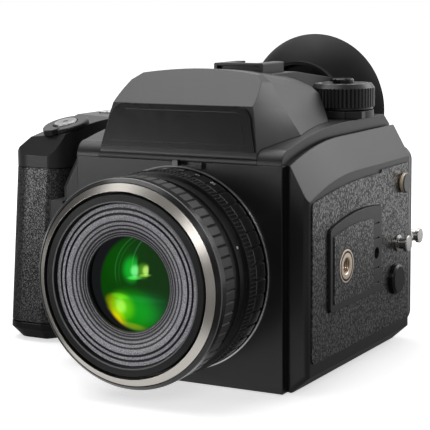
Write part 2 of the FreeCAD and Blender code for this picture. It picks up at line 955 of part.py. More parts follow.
def plate_line(forward=0):
    """The leaning plane of the name plate, lowest point first."""
    return [(d.plate_low_y - forward, d.shoulder_z), (d.plate_high_y - forward, d.plate_high_z)]


def make_prism_housing():
    body = new_body("prism_housing")
    sections = [
        (d.hood_front_y, hood_section(
            (d.hood_front_low_half, d.shoulder_z), (d.hood_front_mid_half, d.plate_high_z),
            (d.hood_front_top_half, d.hood_front_top_z),
            (d.hood_front_crown_half, d.hood_front_crown_z), d.hood_front_crown_radius)),
        (d.hood_middle_y, hood_section(
            (d.hood_middle_low_half, d.hood_middle_low_z),
            (d.hood_middle_mid_half, d.hood_middle_mid_z),
            (d.hood_middle_top_half, d.hood_middle_top_z),
            (d.hood_middle_crown_half, d.hood_middle_crown_z), d.hood_middle_crown_radius)),
        (d.hood_rear_y, hood_section(
            (d.hood_rear_low_half, d.hood_rear_low_z), (d.hood_rear_mid_half, d.hood_rear_mid_z),
            (d.hood_rear_top_half, d.hood_rear_top_z),
            (d.hood_rear_crown_half, d.hood_rear_crown_z), d.hood_rear_crown_radius)),
    ]
    outlines = []
    for y, corners in sections:
        outline = new_sketch(body, "XZ", (0, 0, -y))
        draw(outline, [corners])
        outlines.append(outline)
    hood = body.newObject("PartDesign::AdditiveLoft", "hood_loft")
    hood.Profile = outlines[0]
    hood.Sections = outlines[1:]
    hood.Ruled = True
    wide = d.hood_middle_low_half + d.beyond
    ahead = d.hood_front_y - d.beyond
    above = d.ridge_z + d.beyond
    below = d.shoulder_z - d.beyond
    behind = d.hood_rear_y + d.beyond
    cut(body, "YZ", -wide, wide,
        plate_line() + [(d.ridge_y, d.ridge_z), (d.ridge_y, above), (ahead, above),
                        (ahead, below), (d.plate_low_y, below)])
    cut(body, "YZ", -wide, wide,
        [(d.hood_rear_foot_y, d.deck_z), (d.hood_rear_y, d.hood_rear_top_z),
         (d.hood_rear_y, d.ridge_z), (behind, d.ridge_z), (behind, d.hood_rear_low_z),
         (d.hood_rear_foot_y, d.hood_rear_low_z)])
    sunk_z = d.deck_z - d.beyond
    pad(body, "YZ", -d.neck_half, d.neck_half,
        [(d.neck_front_y, sunk_z), (d.deck_end_y, sunk_z), (d.seam_y, d.deck_rear_z),
         (d.neck_end_y, d.deck_rear_z), (d.neck_end_y, d.neck_end_z),
         (d.neck_slope_y, d.shoe_floor_z), (d.neck_front_y, d.shoe_floor_z)])
    under = deck_outline(d.floor_z)
    cut(body, "YZ", -wide, wide, under)
    gap = d.shoe_seat_gap
    cut(body, "XY", d.shoe_floor_z, d.shoe_floor_z + d.beyond * 2,
        rectangle(-d.shoe_half - gap, d.shoe_half + gap, d.shoe_front_y - gap,
                  d.shoe_front_y + d.shoe_length + gap))
    room = d.prism_clearance
    cut(body, "XZ", d.penta_front_y - room, d.penta_rear_y + room, [
        (-d.penta_half - room, d.shoulder_z), (d.penta_half + room, d.shoulder_z),
        (d.penta_half + room, d.penta_shoulder_z + room),
        (d.penta_top_half + room, d.penta_top_z + room),
        (-d.penta_top_half - room, d.penta_top_z + room),
        (-d.penta_half - room, d.penta_shoulder_z + room)])
    cut(body, "XZ", d.penta_rear_y, d.neck_end_y,
        rectangle(-d.tunnel_half, d.tunnel_half, d.tunnel_low_z, d.tunnel_high_z))
    return body


def trapezium(low_half, high_half, low_v, high_v, corner):
    """An outline with a wider bottom and two rounded top corners."""
    lean = (low_half.value - high_half.value) / (high_v.value - low_v.value)
    return [
        (-low_half, low_v),
        (low_half, low_v),
        (high_half + corner * lean, high_v - corner, corner * 1.05, "left"),
        (high_half - corner, high_v),
        (-high_half + corner, high_v, corner * 1.05, "left"),
        (-high_half - corner * lean, high_v - corner),
    ]


def make_nameplate():
    """The plate that fills the hood's leaning front, with a slightly raised panel."""
    body = new_body("nameplate")
    rise, back = d.plate_high_z - d.shoulder_z, d.plate_high_y - d.plate_low_y
    angle = -math.degrees(math.atan2(back.value, rise.value))
    margin = d.panel_margin
    plate = trapezium(d.plate_low_half, d.plate_high_half, d.plate_foot, d.plate_head,
                      d.plate_corner)
    panel = trapezium(d.plate_low_half - margin * 1.8, d.plate_high_half - margin * 1.5,
                      d.plate_foot + margin, d.plate_head - margin, d.panel_corner)
    for outline, thick in ((plate, d.plate_thick), (panel, d.plate_thick + d.panel_rise)):
        sketch = new_sketch(body, "XZ")
        sketch.AttachmentOffset = FreeCAD.Placement(Vector(), FreeCAD.Rotation(ALONG_X, angle))
        bind(sketch, "AttachmentOffset.Base.y", d.shoulder_z)
        bind(sketch, "AttachmentOffset.Base.z", -d.plate_low_y)
        draw(sketch, [outline])
        feature = body.newObject("PartDesign::Pad", "nameplate_pad")
        feature.Profile = sketch
        bind(feature, "Length", thick)
    return body


def make_hot_shoe():
    body = new_body("hot_shoe")
    rear_y = d.shoe_front_y + d.shoe_length
    slot_z = d.shoe_floor_z + d.shoe_floor
    lip_z = slot_z + d.shoe_slot_height
    pad(body, "XZ", d.shoe_front_y, rear_y,
        rectangle(-d.shoe_half, d.shoe_half, d.shoe_floor_z, lip_z + d.shoe_lip))
    fillet(body, d.shoe_round,
           lambda e: runs_along(e, ALONG_Y) and near(e.CenterOfMass.z, lip_z + d.shoe_lip))
    slot = rectangle(-d.shoe_slot_half, d.shoe_slot_half, slot_z, lip_z)
    cut(body, "XZ", d.shoe_front_y, d.shoe_front_y + d.shoe_stop, slot)
    cut(body, "XZ", d.shoe_front_y + d.shoe_stop + d.shoe_rail_gap, rear_y, slot)
    cut(body, "XZ", d.shoe_front_y + d.shoe_bridge, rear_y,
        rectangle(-d.shoe_mouth_half, d.shoe_mouth_half, slot_z, lip_z + d.shoe_lip))
    return body


# Eyepiece

def make_eyepiece_frame():
    body = new_body("eyepiece_frame")
    pad(body, "YZ", -d.eyepiece_half, d.eyepiece_half,
        [(d.seam_y, d.eyepiece_low_z), (d.eyepiece_end_y, d.eyepiece_low_z),
         (d.eyepiece_end_y, d.eyepiece_high_z), (d.neck_end_y, d.eyepiece_high_z),
         (d.neck_end_y, d.deck_rear_z), (d.seam_y, d.deck_rear_z)])
    fillet(body, d.corner_round,
           lambda e: runs_along(e, ALONG_Y) and e.CenterOfMass.z > d.deck_z.value)
    cut(body, "XZ", d.seam_y, d.eyepiece_end_y,
        rectangle(-d.tunnel_half, d.tunnel_half, d.tunnel_low_z, d.tunnel_high_z))
    return body


def make_eyepiece_lens():
    body = new_body("eyepiece_lens")
    pad(body, "XZ", d.eyepiece_glass_y, d.eyepiece_glass_y + d.eyepiece_glass_thick,
        rectangle(-d.tunnel_half, d.tunnel_half, d.tunnel_low_z, d.tunnel_high_z))
    return body


def make_eyecup():
    """A rubber cup whose thin wall flares out from a tube, trimmed flat over the film back."""
    body = new_body("eyecup")
    web_y = d.eyepiece_end_y + d.eyecup_web
    tube = d.eyecup_tube_radius
    wall = d.eyecup_wall
    turned(body, "Y", (0, 0, d.eyecup_z), [
        (d.eyecup_start_y, tube - wall),
        (d.eyecup_start_y, tube),
        (d.eyecup_bend_y, tube, d.eyecup_flare_radius, "right"),
        (d.eyecup_end_y - d.eyecup_edge, d.eyecup_rim_radius),
        (d.eyecup_end_y, d.eyecup_rim_radius - d.eyecup_edge),
        (d.eyecup_end_y, d.eyecup_rim_radius - wall, d.eyecup_flare_radius + wall, "left"),
        (web_y, tube - wall),
        (web_y, d.eyecup_hole_radius),
        (d.eyepiece_end_y, d.eyecup_hole_radius),
        (d.eyepiece_end_y, tube - wall),
    ])
    reach = d.eyecup_rim_radius + d.beyond
    cut(body, "XY", d.eyecup_z - reach, d.eyecup_trim_z,
        rectangle(-reach, reach, d.eyecup_start_y - d.beyond, d.eyecup_end_y + d.beyond))
    return body


# Grip

def grip_outline(inset=0, share=0):
    """The grip seen from above, joined to the body at +X. Inset moves its outer face in, and
    share is how much of the flare of the grip's foot it has."""
    flare_out, flare_front = d.grip_flare_out * share, d.grip_flare_front * share
    out_x = d.grip_out_x + inset - flare_out
    front_y = d.grip_front_y + inset - flare_front
    rear_y = d.seam_y - inset
    front_corner = d.grip_front_corner - inset
    rear_corner = d.grip_rear_corner - inset
    nose_x = d.grip_nose_x - flare_out
    return [
        (d.grip_valley_x, d.grip_recess_y + inset),
        (-d.pod_half, d.grip_recess_y + inset),
        (-d.pod_half, d.grip_join_y),
        (-d.core_half, d.grip_join_y),
        (-d.core_half, rear_y),
        (out_x + rear_corner, rear_y, rear_corner, "left"),
        (out_x, rear_y - rear_corner),
        (out_x, front_y + front_corner, front_corner, "left"),
        (out_x + front_corner, front_y),
        (nose_x, front_y, d.grip_front_corner, "left"),
        (nose_x + d.grip_cheek_out - inset, d.grip_cheek_y, d.grip_valley_corner, "right"),
    ]


def grip_share(height):
    """The share of the flare at a height: none at the seam of the top cover, all at the foot."""
    return (d.grip_seam_z - height) / d.grip_seam_z


def loft(body, *levels):
    """A ruled loft between (height, outline) levels."""
    sketches = []
    for height, outline in levels:
        level = new_sketch(body, "XY", (0, 0, height))
        draw(level, [outline])
        sketches.append(level)
    feature = body.newObject("PartDesign::AdditiveLoft", body.Name + "_loft")
    feature.Profile = sketches[0]
    feature.Sections = sketches[1:]
    feature.Ruled = True
    return feature


def make_grip_shell():
    body = new_body("grip_shell")
    loft(body, *[(height, grip_outline(d.grip_skin, grip_share(height)))
                 for height in (d.grip_base_z, d.grip_seam_z)])
    gap = d.parting_gap
    pad(body, "XY", Size.of(0), d.grip_base_z, [
        (-d.pod_half, d.grip_join_y), (-d.core_half, d.grip_join_y),
        (-d.core_half, d.seam_y - d.grip_skin), (d.tray_side_x + gap, d.seam_y - d.grip_skin),
        (d.tray_side_x + gap, d.grip_recess_y - gap), (-d.pod_half, d.grip_recess_y - gap)])
    gap = d.slide_gap
    cut(body, "XY", d.grip_base_z, holder_top() + gap,
        rectangle(d.holder_x - d.holder_half_x - gap, d.holder_x + d.holder_half_x + gap,
                  d.holder_y - d.holder_half_y - gap, d.holder_y + d.holder_half_y + gap))
    cut(body, "XY", d.motor_low_z, d.motor_high_z, (d.motor_x, d.motor_y, d.motor_radius))
    return body


def make_grip_leather():
    """The leather wraps the grip's front, outer side and rear, from the finger recess on."""
    body = new_body("grip_leather")
    edge = d.grip_leather_edge
    levels = [(height, leather_outline(grip_share(height)))
              for height in (d.grip_base_z + edge, d.grip_seam_z - edge)]
    loft(body, *levels)
    return body


def leather_outline(share):
    """A band between the grip's outline and the shell's, from the finger recess to the rear."""
    outer = grip_outline(0, share)
    inner = grip_outline(d.grip_skin, share)
    turned_sides = {"left": "right", "right": "left"}
    band = outer[4:] + [outer[0], outer[1], inner[1]]
    back = [inner[0]] + inner[:3:-1]
    for index, corner in enumerate(back):
        following = back[index + 1] if index + 1 < len(back) else corner
        if len(following) == 4:
            band.append((corner[0], corner[1], following[2], turned_sides[following[3]]))
        else:
            band.append((corner[0], corner[1]))
    return band


def make_grip_top_cover():
    body = new_body("grip_top_cover")
    pad(body, "XY", d.grip_seam_z, d.grip_top_z, grip_outline())
    ahead, aside = d.grip_front_y - d.beyond, d.grip_out_x - d.beyond
    brow_end_z = d.grip_brow_z + d.grip_brow_rise
    cut(body, "YZ", aside, -d.pod_half - d.parting_gap,
        [(d.grip_front_y, d.grip_brow_z), (d.grip_front_y + d.grip_brow_lean, brow_end_z),
         (ahead, brow_end_z), (ahead, d.grip_brow_z)])
    cut(body, "XZ", ahead, d.seam_y + d.beyond,
        [(d.grip_out_x, d.grip_bevel_low_z), (d.grip_bevel_x, d.grip_bevel_high_z),
         (d.grip_bevel_far_x, d.grip_bevel_far_z), (aside, d.grip_bevel_far_z),
         (aside, d.grip_bevel_low_z)])
    reach = d.cut_reach
    tilt_cut(body, reach, [rectangle(-reach, reach, -reach, reach)], Size.of(0))
    tilt_cut(body, reach + d.well_depth,
             [(Size.of(0), Size.of(0), d.ring_skirt_radius + d.running_gap)], -d.well_depth)
    return body


def tilt_cut(body, depth, shapes, start):
    """A cut along the leaning axis of the shutter button, upwards from start."""
    sketch = new_sketch(body, "XY")
    sketch.AttachmentOffset = FreeCAD.Placement(Vector(), button_rotation())
    normal = button_rotation().multVec(ALONG_Z)
    centre = (d.button_x, d.button_y, d.button_z)
    for axis, place, share in zip("xyz", centre, normal):
        bind(sketch, "AttachmentOffset.Base." + axis, place + start * share)
    draw(sketch, shapes)
    feature = body.newObject("PartDesign::Pocket", body.Name + "_cut")
    feature.Profile = sketch
    bind(feature, "Length", depth)
    feature.Reversed = True
    return feature


def button_rotation():
    """The button's axis leans forward and a little outward."""
    return FreeCAD.Rotation(Vector(0.945, -0.327, 0), d.button_tilt.value)


def lean(body):
    """Moves a body drawn upright at the origin onto the shutter button's axis."""
    body.Placement = FreeCAD.Placement(Vector(), button_rotation())
    bind(body, "Placement.Base.x", d.button_x)
    bind(body, "Placement.Base.y", d.button_y)
    bind(body, "Placement.Base.z", d.button_z)
    bind(body, "Placement.Rotation.Angle", d.button_tilt)
    return body


def make_shutter_button():
    body = new_body("shutter_button")
    foot = -d.well_depth + d.button_travel + d.button_play
    radius, top, edge = d.button_radius, d.button_rise, d.button_edge
    turned(body, "Z", (0, 0, 0), [
        (0, foot), (d.button_stem_radius, foot), (d.button_stem_radius, d.button_head_low),
        (radius, d.button_head_low), (radius, top - edge), (radius - edge, top), (0, top)])
    turned(body, "Z", (0, 0, 0), [
        (0, top - edge), (d.button_dimple_floor, top - edge), (d.button_dimple_radius, top),
        (0, top)], groove=True)
    return lean(body)


def make_power_ring():
    """The switch round the button, with a tab at its front."""
    body = new_body("power_ring")
    turned(body, "Z", (0, 0, 0), [
        (d.ring_bore_radius, -d.ring_skirt_depth), (d.ring_skirt_radius, -d.ring_skirt_depth),
        (d.ring_skirt_radius, d.parting_gap), (d.ring_radius, d.parting_gap),
        (d.ring_radius, d.ring_rise - d.ring_edge), (d.ring_radius - d.ring_edge, d.ring_rise),
        (d.ring_bore_radius, d.ring_rise)])
    tip_y, root_y = -d.ring_radius - d.tab_reach, -d.ring_radius + d.tab_root
    low_x, high_x, corner = d.tab_low_x, d.tab_high_x, d.tab_corner
    pad(body, "XY", d.parting_gap, d.ring_rise + d.tab_rise, [
        (low_x, tip_y + corner), (low_x + corner, tip_y), (high_x - corner, tip_y),
        (high_x, tip_y + corner), (high_x, root_y), (low_x, root_y)])
    return lean(body)


def make_grip_base_cap():
    body = new_body("grip_base_cap")
    side = d.tray_side_x
    top = d.grip_base_z - d.parting_gap
    levels = []
    for inset, height in ((d.grip_base_chamfer, Size.of(0)), (Size.of(0), d.grip_base_chamfer),
                          (Size.of(0), top)):
        plan = grip_outline(inset, grip_share(height))
        plan = [plan[0], (side, d.grip_recess_y + inset), (side, d.seam_y - inset)] + plan[5:]
        levels.append((height, plan))
    loft(body, *levels[:2])
    loft(body, *levels[1:])
    return body


def holder_top():
    return (d.grip_base_z - d.parting_gap + d.holder_plate * 2
            + d.cell_length + d.nub_height)


def make_battery_holder():
    body = new_body("battery_holder")
    x, y = d.holder_x, d.holder_y
    low_z = d.grip_base_z - d.parting_gap
    plan = rectangle(x - d.holder_half_x, x + d.holder_half_x,
                     y - d.holder_half_y, y + d.holder_half_y)
    pad(body, "XY", low_z, low_z + d.holder_plate, plan)
    pad(body, "XY", holder_top() - d.holder_plate, holder_top(), plan)
    web = d.holder_web / 2
    pad(body, "XY", low_z + d.holder_plate, holder_top() - d.holder_plate,
        rectangle(x - d.holder_half_x, x + d.holder_half_x, y - web, y + web))
    return body


def make_battery_cells():
    body = new_body("battery_cells")
    low_z = d.grip_base_z - d.parting_gap + d.holder_plate
    high_z = low_z + d.cell_length
    centres = [(d.holder_x + d.cell_pitch * column, d.holder_y + d.cell_pitch * row / 2)
               for column in (-1, 0, 1) for row in (-1, 1)]
    pad(body, "XY", low_z, high_z, *[(x, y, d.cell_radius) for x, y in centres])
    pad(body, "XY", high_z, high_z + d.nub_height, *[(x, y, d.nub_radius) for x, y in centres])
    return body


def make_drive_motor():
    body = new_body("drive_motor")
    end_z = d.motor_high_z - d.motor_shaft
    pad(body, "XY", d.motor_low_z, end_z, (d.motor_x, d.motor_y, d.motor_radius))
    pad(body, "XY", end_z, d.motor_high_z, (d.motor_x, d.motor_y, d.motor_shaft_radius))
    return body


# Left side fittings

def side_plate_outline(grow=0):
    return [
        (d.side_plate_front_y - grow, d.side_plate_low_z - grow),
        (d.side_plate_rear_y + grow, d.side_plate_low_z - grow),
        (d.side_plate_rear_y + grow, d.side_plate_rear_z + grow, d.side_plate_arc_radius, "left"),
        (d.side_plate_front_y - grow, d.side_plate_front_z + grow),
    ]


def make_tripod_plate():
    body = new_body("tripod_plate")
    outer = d.pod_half + d.side_plate_rise
    pad(body, "YZ", d.pod_half, outer, side_plate_outline())
    fillet(body, d.side_plate_corner, lambda e: runs_along(e, ALONG_X))
    cut(body, "YZ", d.pod_half, outer, (d.side_socket_y, d.lens_z, d.socket_sleeve_radius),
        (d.pin_hole_y, d.lens_z, d.pin_hole_radius))
    half = d.plate_slot_wide / 2
    slots = [d.lens_z + d.plate_slot_pitch * number for number in (-2, -1, 1, 2)]
    cut(body, "YZ", outer - d.plate_slot_deep, outer,
        *[rectangle(d.insert_rear_y, d.insert_rear_y + d.plate_slot_long, z - half, z + half)
          for z in slots])
    return body


def make_side_leather():
    """The sheet round the raised plate, and the smaller sheet on the plate itself."""
    body = new_body("side_leather")
    outer = d.pod_half + d.leather_thick
    pad(body, "YZ", d.pod_half, outer, [
        (d.leather_front_y, d.leather_low_z), (d.leather_rear_y, d.leather_low_z),
        (d.leather_rear_y, d.leather_rear_z),
        (d.leather_step_y + d.leather_notch, d.leather_rear_z),
        (d.leather_step_y, d.leather_mid_z, d.leather_arc_radius, "left"),
        (d.leather_front_y, d.leather_front_z)])
    fillet(body, d.leather_corner,
           lambda e: runs_along(e, ALONG_X) and e.CenterOfMass.y < d.side_plate_front_y.value)
    gap = d.parting_gap
    cut(body, "YZ", d.pod_half, outer, side_plate_outline(d.slide_gap),
        (d.stud_y, d.stud_z, d.stud_head_radius + gap), (d.cap_y, d.cap_z, d.cap_radius + gap),
        (d.lug_y, d.lug_z, d.lug_neck_radius + gap))
    return body


def make_plate_leather():
    body = new_body("plate_leather")
    low = d.pod_half + d.side_plate_rise
    margin = d.insert_margin
    pad(body, "YZ", low, low + d.insert_thick, [
        (d.side_plate_front_y + margin, d.side_plate_low_z + margin),
        (d.insert_rear_y, d.side_plate_low_z + margin),
        (d.insert_rear_y, d.insert_high_z + d.insert_rise, d.side_plate_arc_radius, "left"),
        (d.side_plate_front_y + margin, d.insert_high_z)])
    cut(body, "YZ", low, low + d.insert_thick,
        (d.side_socket_y, d.lens_z, d.socket_flange_radius + d.slide_gap))
    return body


def make_side_tripod_socket():
    body = new_body("side_tripod_socket")
    face = d.pod_half + d.side_plate_rise + d.socket_flange
    inner = d.pod_half - d.cover_wall
    centre = (0, d.side_socket_y, d.lens_z)
    turned(body, "X", centre, [
        (inner, d.tripod_thread_radius), (face, d.tripod_thread_radius),
        (face, d.socket_flange_radius), (face - d.socket_flange, d.socket_flange_radius),
        (face - d.socket_flange, d.socket_sleeve_radius), (inner, d.socket_sleeve_radius)])
    return body


def make_base_tripod_socket():
    body = new_body("base_tripod_socket")
    turned(body, "Z", (0, 0, 0), [
        (d.tripod_thread_radius, 0), (d.socket_sleeve_radius, 0),
        (d.socket_sleeve_radius, d.floor_z), (d.tripod_thread_radius, d.floor_z)])
    return body


def make_strap_lugs():
    """One round lug on each side of the body near the back."""
    body = new_body("strap_lugs")
    neck, head, edge = d.lug_neck_radius, d.lug_radius, d.lug_edge
    grip_side = d.grip_flare_out * grip_share(d.lug_z - d.lug_neck_radius) - d.grip_out_x
    for side, start in ((1, d.pod_half), (-1, grip_side)):
        step = start + d.lug_neck
        face = step + d.lug_head
        turned(body, "X", (0, d.lug_y, d.lug_z), [
            (side * start, 0), (side * start, neck), (side * step, neck), (side * step, head),
            (side * (face - edge), head), (side * face, head - edge), (side * face, 0)])
    return body


def make_strap_stud():
    body = new_body("strap_stud")
    head, neck, edge = d.stud_head_radius, d.stud_neck_radius, d.stud_edge
    end = d.pod_half + d.stud_length
    inner_head, outer_head = d.pod_half + d.stud_head, end - d.stud_head
    turned(body, "X", (0, d.stud_y, d.stud_z), [
        (d.pod_half, 0), (d.pod_half, head), (inner_head, head),
        (inner_head + d.stud_taper, neck), (outer_head - d.stud_taper, neck),
        (outer_head, head), (end - edge, head), (end, head - edge), (end, 0)])
    return body


def make_socket_cap():
    body = new_body("sync_socket_cap")
    end = d.pod_half + d.cap_rise
    turned(body, "X", (0, d.cap_y, d.cap_z), [
        (d.pod_half, 0), (d.pod_half, d.cap_radius), (end - d.cap_edge, d.cap_radius),
        (end, d.cap_radius - d.cap_edge), (end, 0)])
    return body


# Lens mount

def make_lens_mount_ring():
    """The steel flange, with three tabs that hold the lens."""
    body = new_body("lens_mount_ring")
    turned(body, "Y", LENS_AXIS, [
        (d.mount_face_y, d.mount_tab_radius), (d.mount_face_y, d.mount_flange_radius),
        (d.front_y, d.mount_flange_radius), (d.front_y, d.mount_sleeve_radius),
        (d.mount_rear_y, d.mount_sleeve_radius), (d.mount_rear_y, d.mount_bore_radius),
        (d.mount_tab_rear_y, d.mount_bore_radius), (d.mount_tab_rear_y, d.mount_tab_radius)])
    for number in range(3):
        gap = sector_ring(d.mount_tab_radius - d.beyond, d.mount_bore_radius, number + 0.5,
                          d.tab_gap_half_angle)
        cut(body, "XZ", d.mount_face_y, d.mount_tab_rear_y, gap)
    for x, z in screw_places():
        cut(body, "XZ", d.mount_face_y, d.mount_rear_y, (x, z, d.screw_radius))
    return body


def screw_places():
    angles = [2 * math.pi * number / MOUNT_SCREW_COUNT + math.pi / 2
              for number in range(MOUNT_SCREW_COUNT)]
    return [(d.screw_circle_radius * math.cos(a), d.lens_z + d.screw_circle_radius * math.sin(a))
            for a in angles]


def make_mount_screws():
    body = new_body("mount_screws")
    heads = [(x, z, d.screw_radius) for x, z in screw_places()]
    pad(body, "XZ", d.mount_face_y, d.mount_rear_y, *heads)
    slots = [rectangle(x - d.screw_radius, x + d.screw_radius,
                       z - d.screw_slot / 2, z + d.screw_slot / 2) for x, z in screw_places()]
    cut(body, "XZ", d.mount_face_y, d.mount_face_y + d.screw_slot_depth, *slots)
    return body


# Lens

def make_lens_barrel():
    """The fixed barrel: rear bayonet, flange, collar, waist and the tube under the rings."""
    body = new_body("lens_barrel")
    rear_bore = d.rear_tube_radius - d.rear_tube_wall
    turned(body, "Y", LENS_AXIS, [
        (d.barrel_tube_front_y, d.barrel_bore_radius),
        (d.barrel_tube_front_y, d.barrel_tube_radius),
        (d.waist_front_y, d.barrel_tube_radius),
        (d.waist_front_y, d.waist_radius),
        (d.band_front_y, d.waist_radius),
        (d.band_front_y, d.band_radius),
        (d.collar_front_y, d.band_radius),
        (d.collar_front_y, d.collar_radius),
        (d.collar_rear_y, d.collar_radius),
        (d.collar_rear_y, d.barrel_tube_radius),
        (d.lens_flange_front_y, d.barrel_tube_radius),
        (d.lens_flange_front_y, d.lens_flange_radius),
        (d.mount_face_y, d.lens_flange_radius),
        (d.mount_face_y, d.rear_tube_radius),
        (d.rear_tube_end_y, d.rear_tube_radius),
        (d.rear_tube_end_y, rear_bore),
        (d.lens_flange_front_y, rear_bore),
        (d.lens_flange_front_y, d.barrel_bore_radius),
    ])
    root = d.rear_tube_radius - d.rear_tube_wall / 2
    for number in range(3):
        lug = sector_ring(root, d.bayonet_lug_radius, number, d.lug_half_angle)
        pad(body, "XZ", d.bayonet_lug_front_y, d.bayonet_lug_rear_y, lug)
    return body


def sector_ring(inner, outer, number, half_angle):
    """A sector about the lens axis, one third of a turn from the next; the first is at the top."""
    angles = [2 * math.pi * number / 3 + math.pi / 2 + turn * math.radians(half_angle.value)
              for turn in (-1, 1)]
    points = [(radius * math.cos(angle), d.lens_z + radius * math.sin(angle))
              for radius, angle in ((inner, angles[0]), (outer, angles[0]),
                                    (outer, angles[1]), (inner, angles[1]))]
    return [points[0], points[1] + (outer, "left"), points[2], points[3] + (inner, "right")]


def groove_corners(middle, surface, wide, deep):
    """A vee groove across a surface: (along, height) corners. It is drawn on above the surface
    for as much again as it is deep, so it is wide only at the surface."""
    return [(middle, surface - deep), (middle + wide, surface + deep),
            (middle - wide, surface + deep)]


def knurl(body, radius, low_y, high_y, wide, deep, count):
    """Grooves along Y, spaced evenly on a ring about the lens axis."""
    groove = cut(body, "XZ", low_y, high_y,
                 groove_corners(Size.of(0), d.lens_z + radius, wide, deep))
    turn = [part for part in body.Group if part.TypeId == "PartDesign::Revolution"][0]
    return repeat(body, groove, (turn.Profile[0], ["H_Axis"]), count)


def make_aperture_ring():
    body = new_body("aperture_ring")
    bore = d.barrel_tube_radius + d.running_gap
    front, rear, rim = d.aperture_front_y, d.aperture_rear_y, d.collar_radius
    turned(body, "Y", LENS_AXIS, [(front, bore), (front, rim), (rear, rim), (rear, bore)])
    knurl(body, rim, front, rear, d.aperture_groove_wide, d.aperture_groove_deep,
          APERTURE_GROOVE_COUNT)
    return body


def make_focus_ring():
    """The sleeve under the rubber grip, with a dark front edge that slopes to the silver ring."""
    body = new_body("focus_ring")
    bore = d.barrel_tube_radius + d.running_gap
    step = d.rubber_radius - d.rubber_step
    seat = d.silver_radius + d.slide_gap
    web_y = d.barrel_tube_front_y - d.focus_web
    turned(body, "Y", LENS_AXIS, [
        (d.focus_rear_y, bore), (d.focus_rear_y, step), (d.rubber_rear_y, step),
        (d.rubber_rear_y, d.rubber_bore_radius), (d.rubber_front_y, d.rubber_bore_radius),
        (d.rubber_front_y, d.focus_radius), (d.focus_front_y, d.focus_radius),
        (d.silver_edge_y, seat), (d.silver_seat_y, seat),
        (d.silver_seat_y, d.silver_bore_radius), (web_y, d.silver_bore_radius), (web_y, bore)])
    return body


def make_focus_grip():
    body = new_body("focus_grip")
    front, rear = d.rubber_front_y, d.rubber_rear_y
    turned(body, "Y", LENS_AXIS, [
        (front, d.rubber_bore_radius), (front, d.rubber_radius), (rear, d.rubber_radius),
        (rear, d.rubber_bore_radius)])
    knurl(body, d.rubber_radius, front, rear, d.rubber_groove_wide, d.rubber_groove_deep,
          RUBBER_GROOVE_COUNT)
    return body


def make_silver_ring():
    """The bright ring, which slopes forward to its bore."""
    body = new_body("silver_ring")
    turned(body, "Y", LENS_AXIS, [
        (d.silver_seat_y, d.silver_bore_radius), (d.silver_front_y, d.silver_bore_radius),
        (d.silver_edge_y, d.silver_radius), (d.silver_seat_y, d.silver_radius)])
    return body


def make_inner_barrel():
    """The barrel that moves out as the lens focuses, with the filter thread at its front."""
    body = new_body("inner_barrel")
    front, rear, rim, edge = d.inner_front_y, d.inner_rear_y, d.inner_radius, d.inner_edge
    thread_end = front + d.filter_depth
    cell, pocket, wall = d.glass_radius, d.disc_pocket_radius, d.cell_wall
    rear_cell = d.rear_glass_radius
    turned(body, "Y", LENS_AXIS, [
        (front, d.filter_radius), (front, rim - edge), (front + edge, rim), (rear, rim),
        (rear, rear_cell + wall), (d.rear_glass_rear_y, rear_cell + wall),
        (d.rear_glass_rear_y, rear_cell), (d.rear_glass_front_y, rear_cell),
        (d.rear_glass_front_y, rear_cell - wall), (rear - wall, rear_cell - wall),
        (rear - wall, d.inner_bore_radius), (d.glass_rear_y + wall, d.inner_bore_radius),
        (d.glass_rear_y + wall, cell - wall), (d.glass_rear_y, cell - wall),
        (d.glass_rear_y, cell), (d.disc_back_y, cell), (d.disc_back_y, pocket),
        (thread_end, pocket), (thread_end, d.filter_radius)])
    return body


def make_front_disc():
    """The grey ring round the front glass, with two grooves and a shallow cone."""
    body = new_body("front_disc")
    face, half = d.disc_face_y, d.disc_groove / 2
    deep = face + d.disc_groove_depth
    corners = [(d.disc_back_y, d.cone_end_radius), (d.disc_back_y, d.disc_radius),
               (face, d.disc_radius)]
    for middle in (d.disc_outer_groove_radius, d.disc_inner_groove_radius):
        corners += [(face, middle + half), (deep, middle + half), (deep, middle - half),
                    (face, middle - half)]
    corners += [(face, d.cone_start_radius), (d.cone_end_y, d.cone_end_radius)]
    turned(body, "Y", LENS_AXIS, corners)
    return body


def glass_profile(front_y, rear_y, radius, curve_radius):
    """A round glass with a domed front and a flat back; front_y is at the top of the dome."""
    curve = curve_radius.value
    sag = curve - math.sqrt(curve * curve - radius.value * radius.value)
    return [(rear_y, 0), (rear_y, radius), (front_y + sag, radius, curve_radius, "left"),
            (front_y, 0)]


def make_front_lens():
    body = new_body("front_lens")
    turned(body, "Y", LENS_AXIS,
           glass_profile(d.glass_apex_y, d.glass_rear_y, d.glass_radius - d.glass_gap,
                         d.glass_curve_radius))
    return body


def make_rear_lens():
    body = new_body("rear_lens")
    turned(body, "Y", LENS_AXIS,
           glass_profile(d.rear_glass_front_y, d.rear_glass_rear_y,
                         d.rear_glass_radius - d.glass_gap, d.rear_glass_curve_radius))
    return body


# Reflex parts

def make_mirror_box():
    body = new_body("mirror_box")
    pad(body, "XZ", d.box_front_y, d.box_rear_y,
        rectangle(-d.box_half, d.box_half, d.box_low_z, d.box_high_z))
    cut(body, "XZ", d.box_front_y, d.box_rear_y,
        rectangle(-d.box_inner_half, d.box_inner_half, d.box_inner_low_z, d.box_high_z))
    cut(body, "YZ", -d.box_half, d.box_half,
        (d.mirror_hinge_y, d.mirror_hinge_z, d.mirror_hinge_radius + d.running_gap))
    return body


def make_focusing_screen():
    body = new_body("focusing_screen")
    pad(body, "XY", d.box_high_z, d.box_high_z + d.screen_thick,
        rectangle(-d.screen_half, d.screen_half, d.screen_front_y, d.screen_rear_y))
    return body


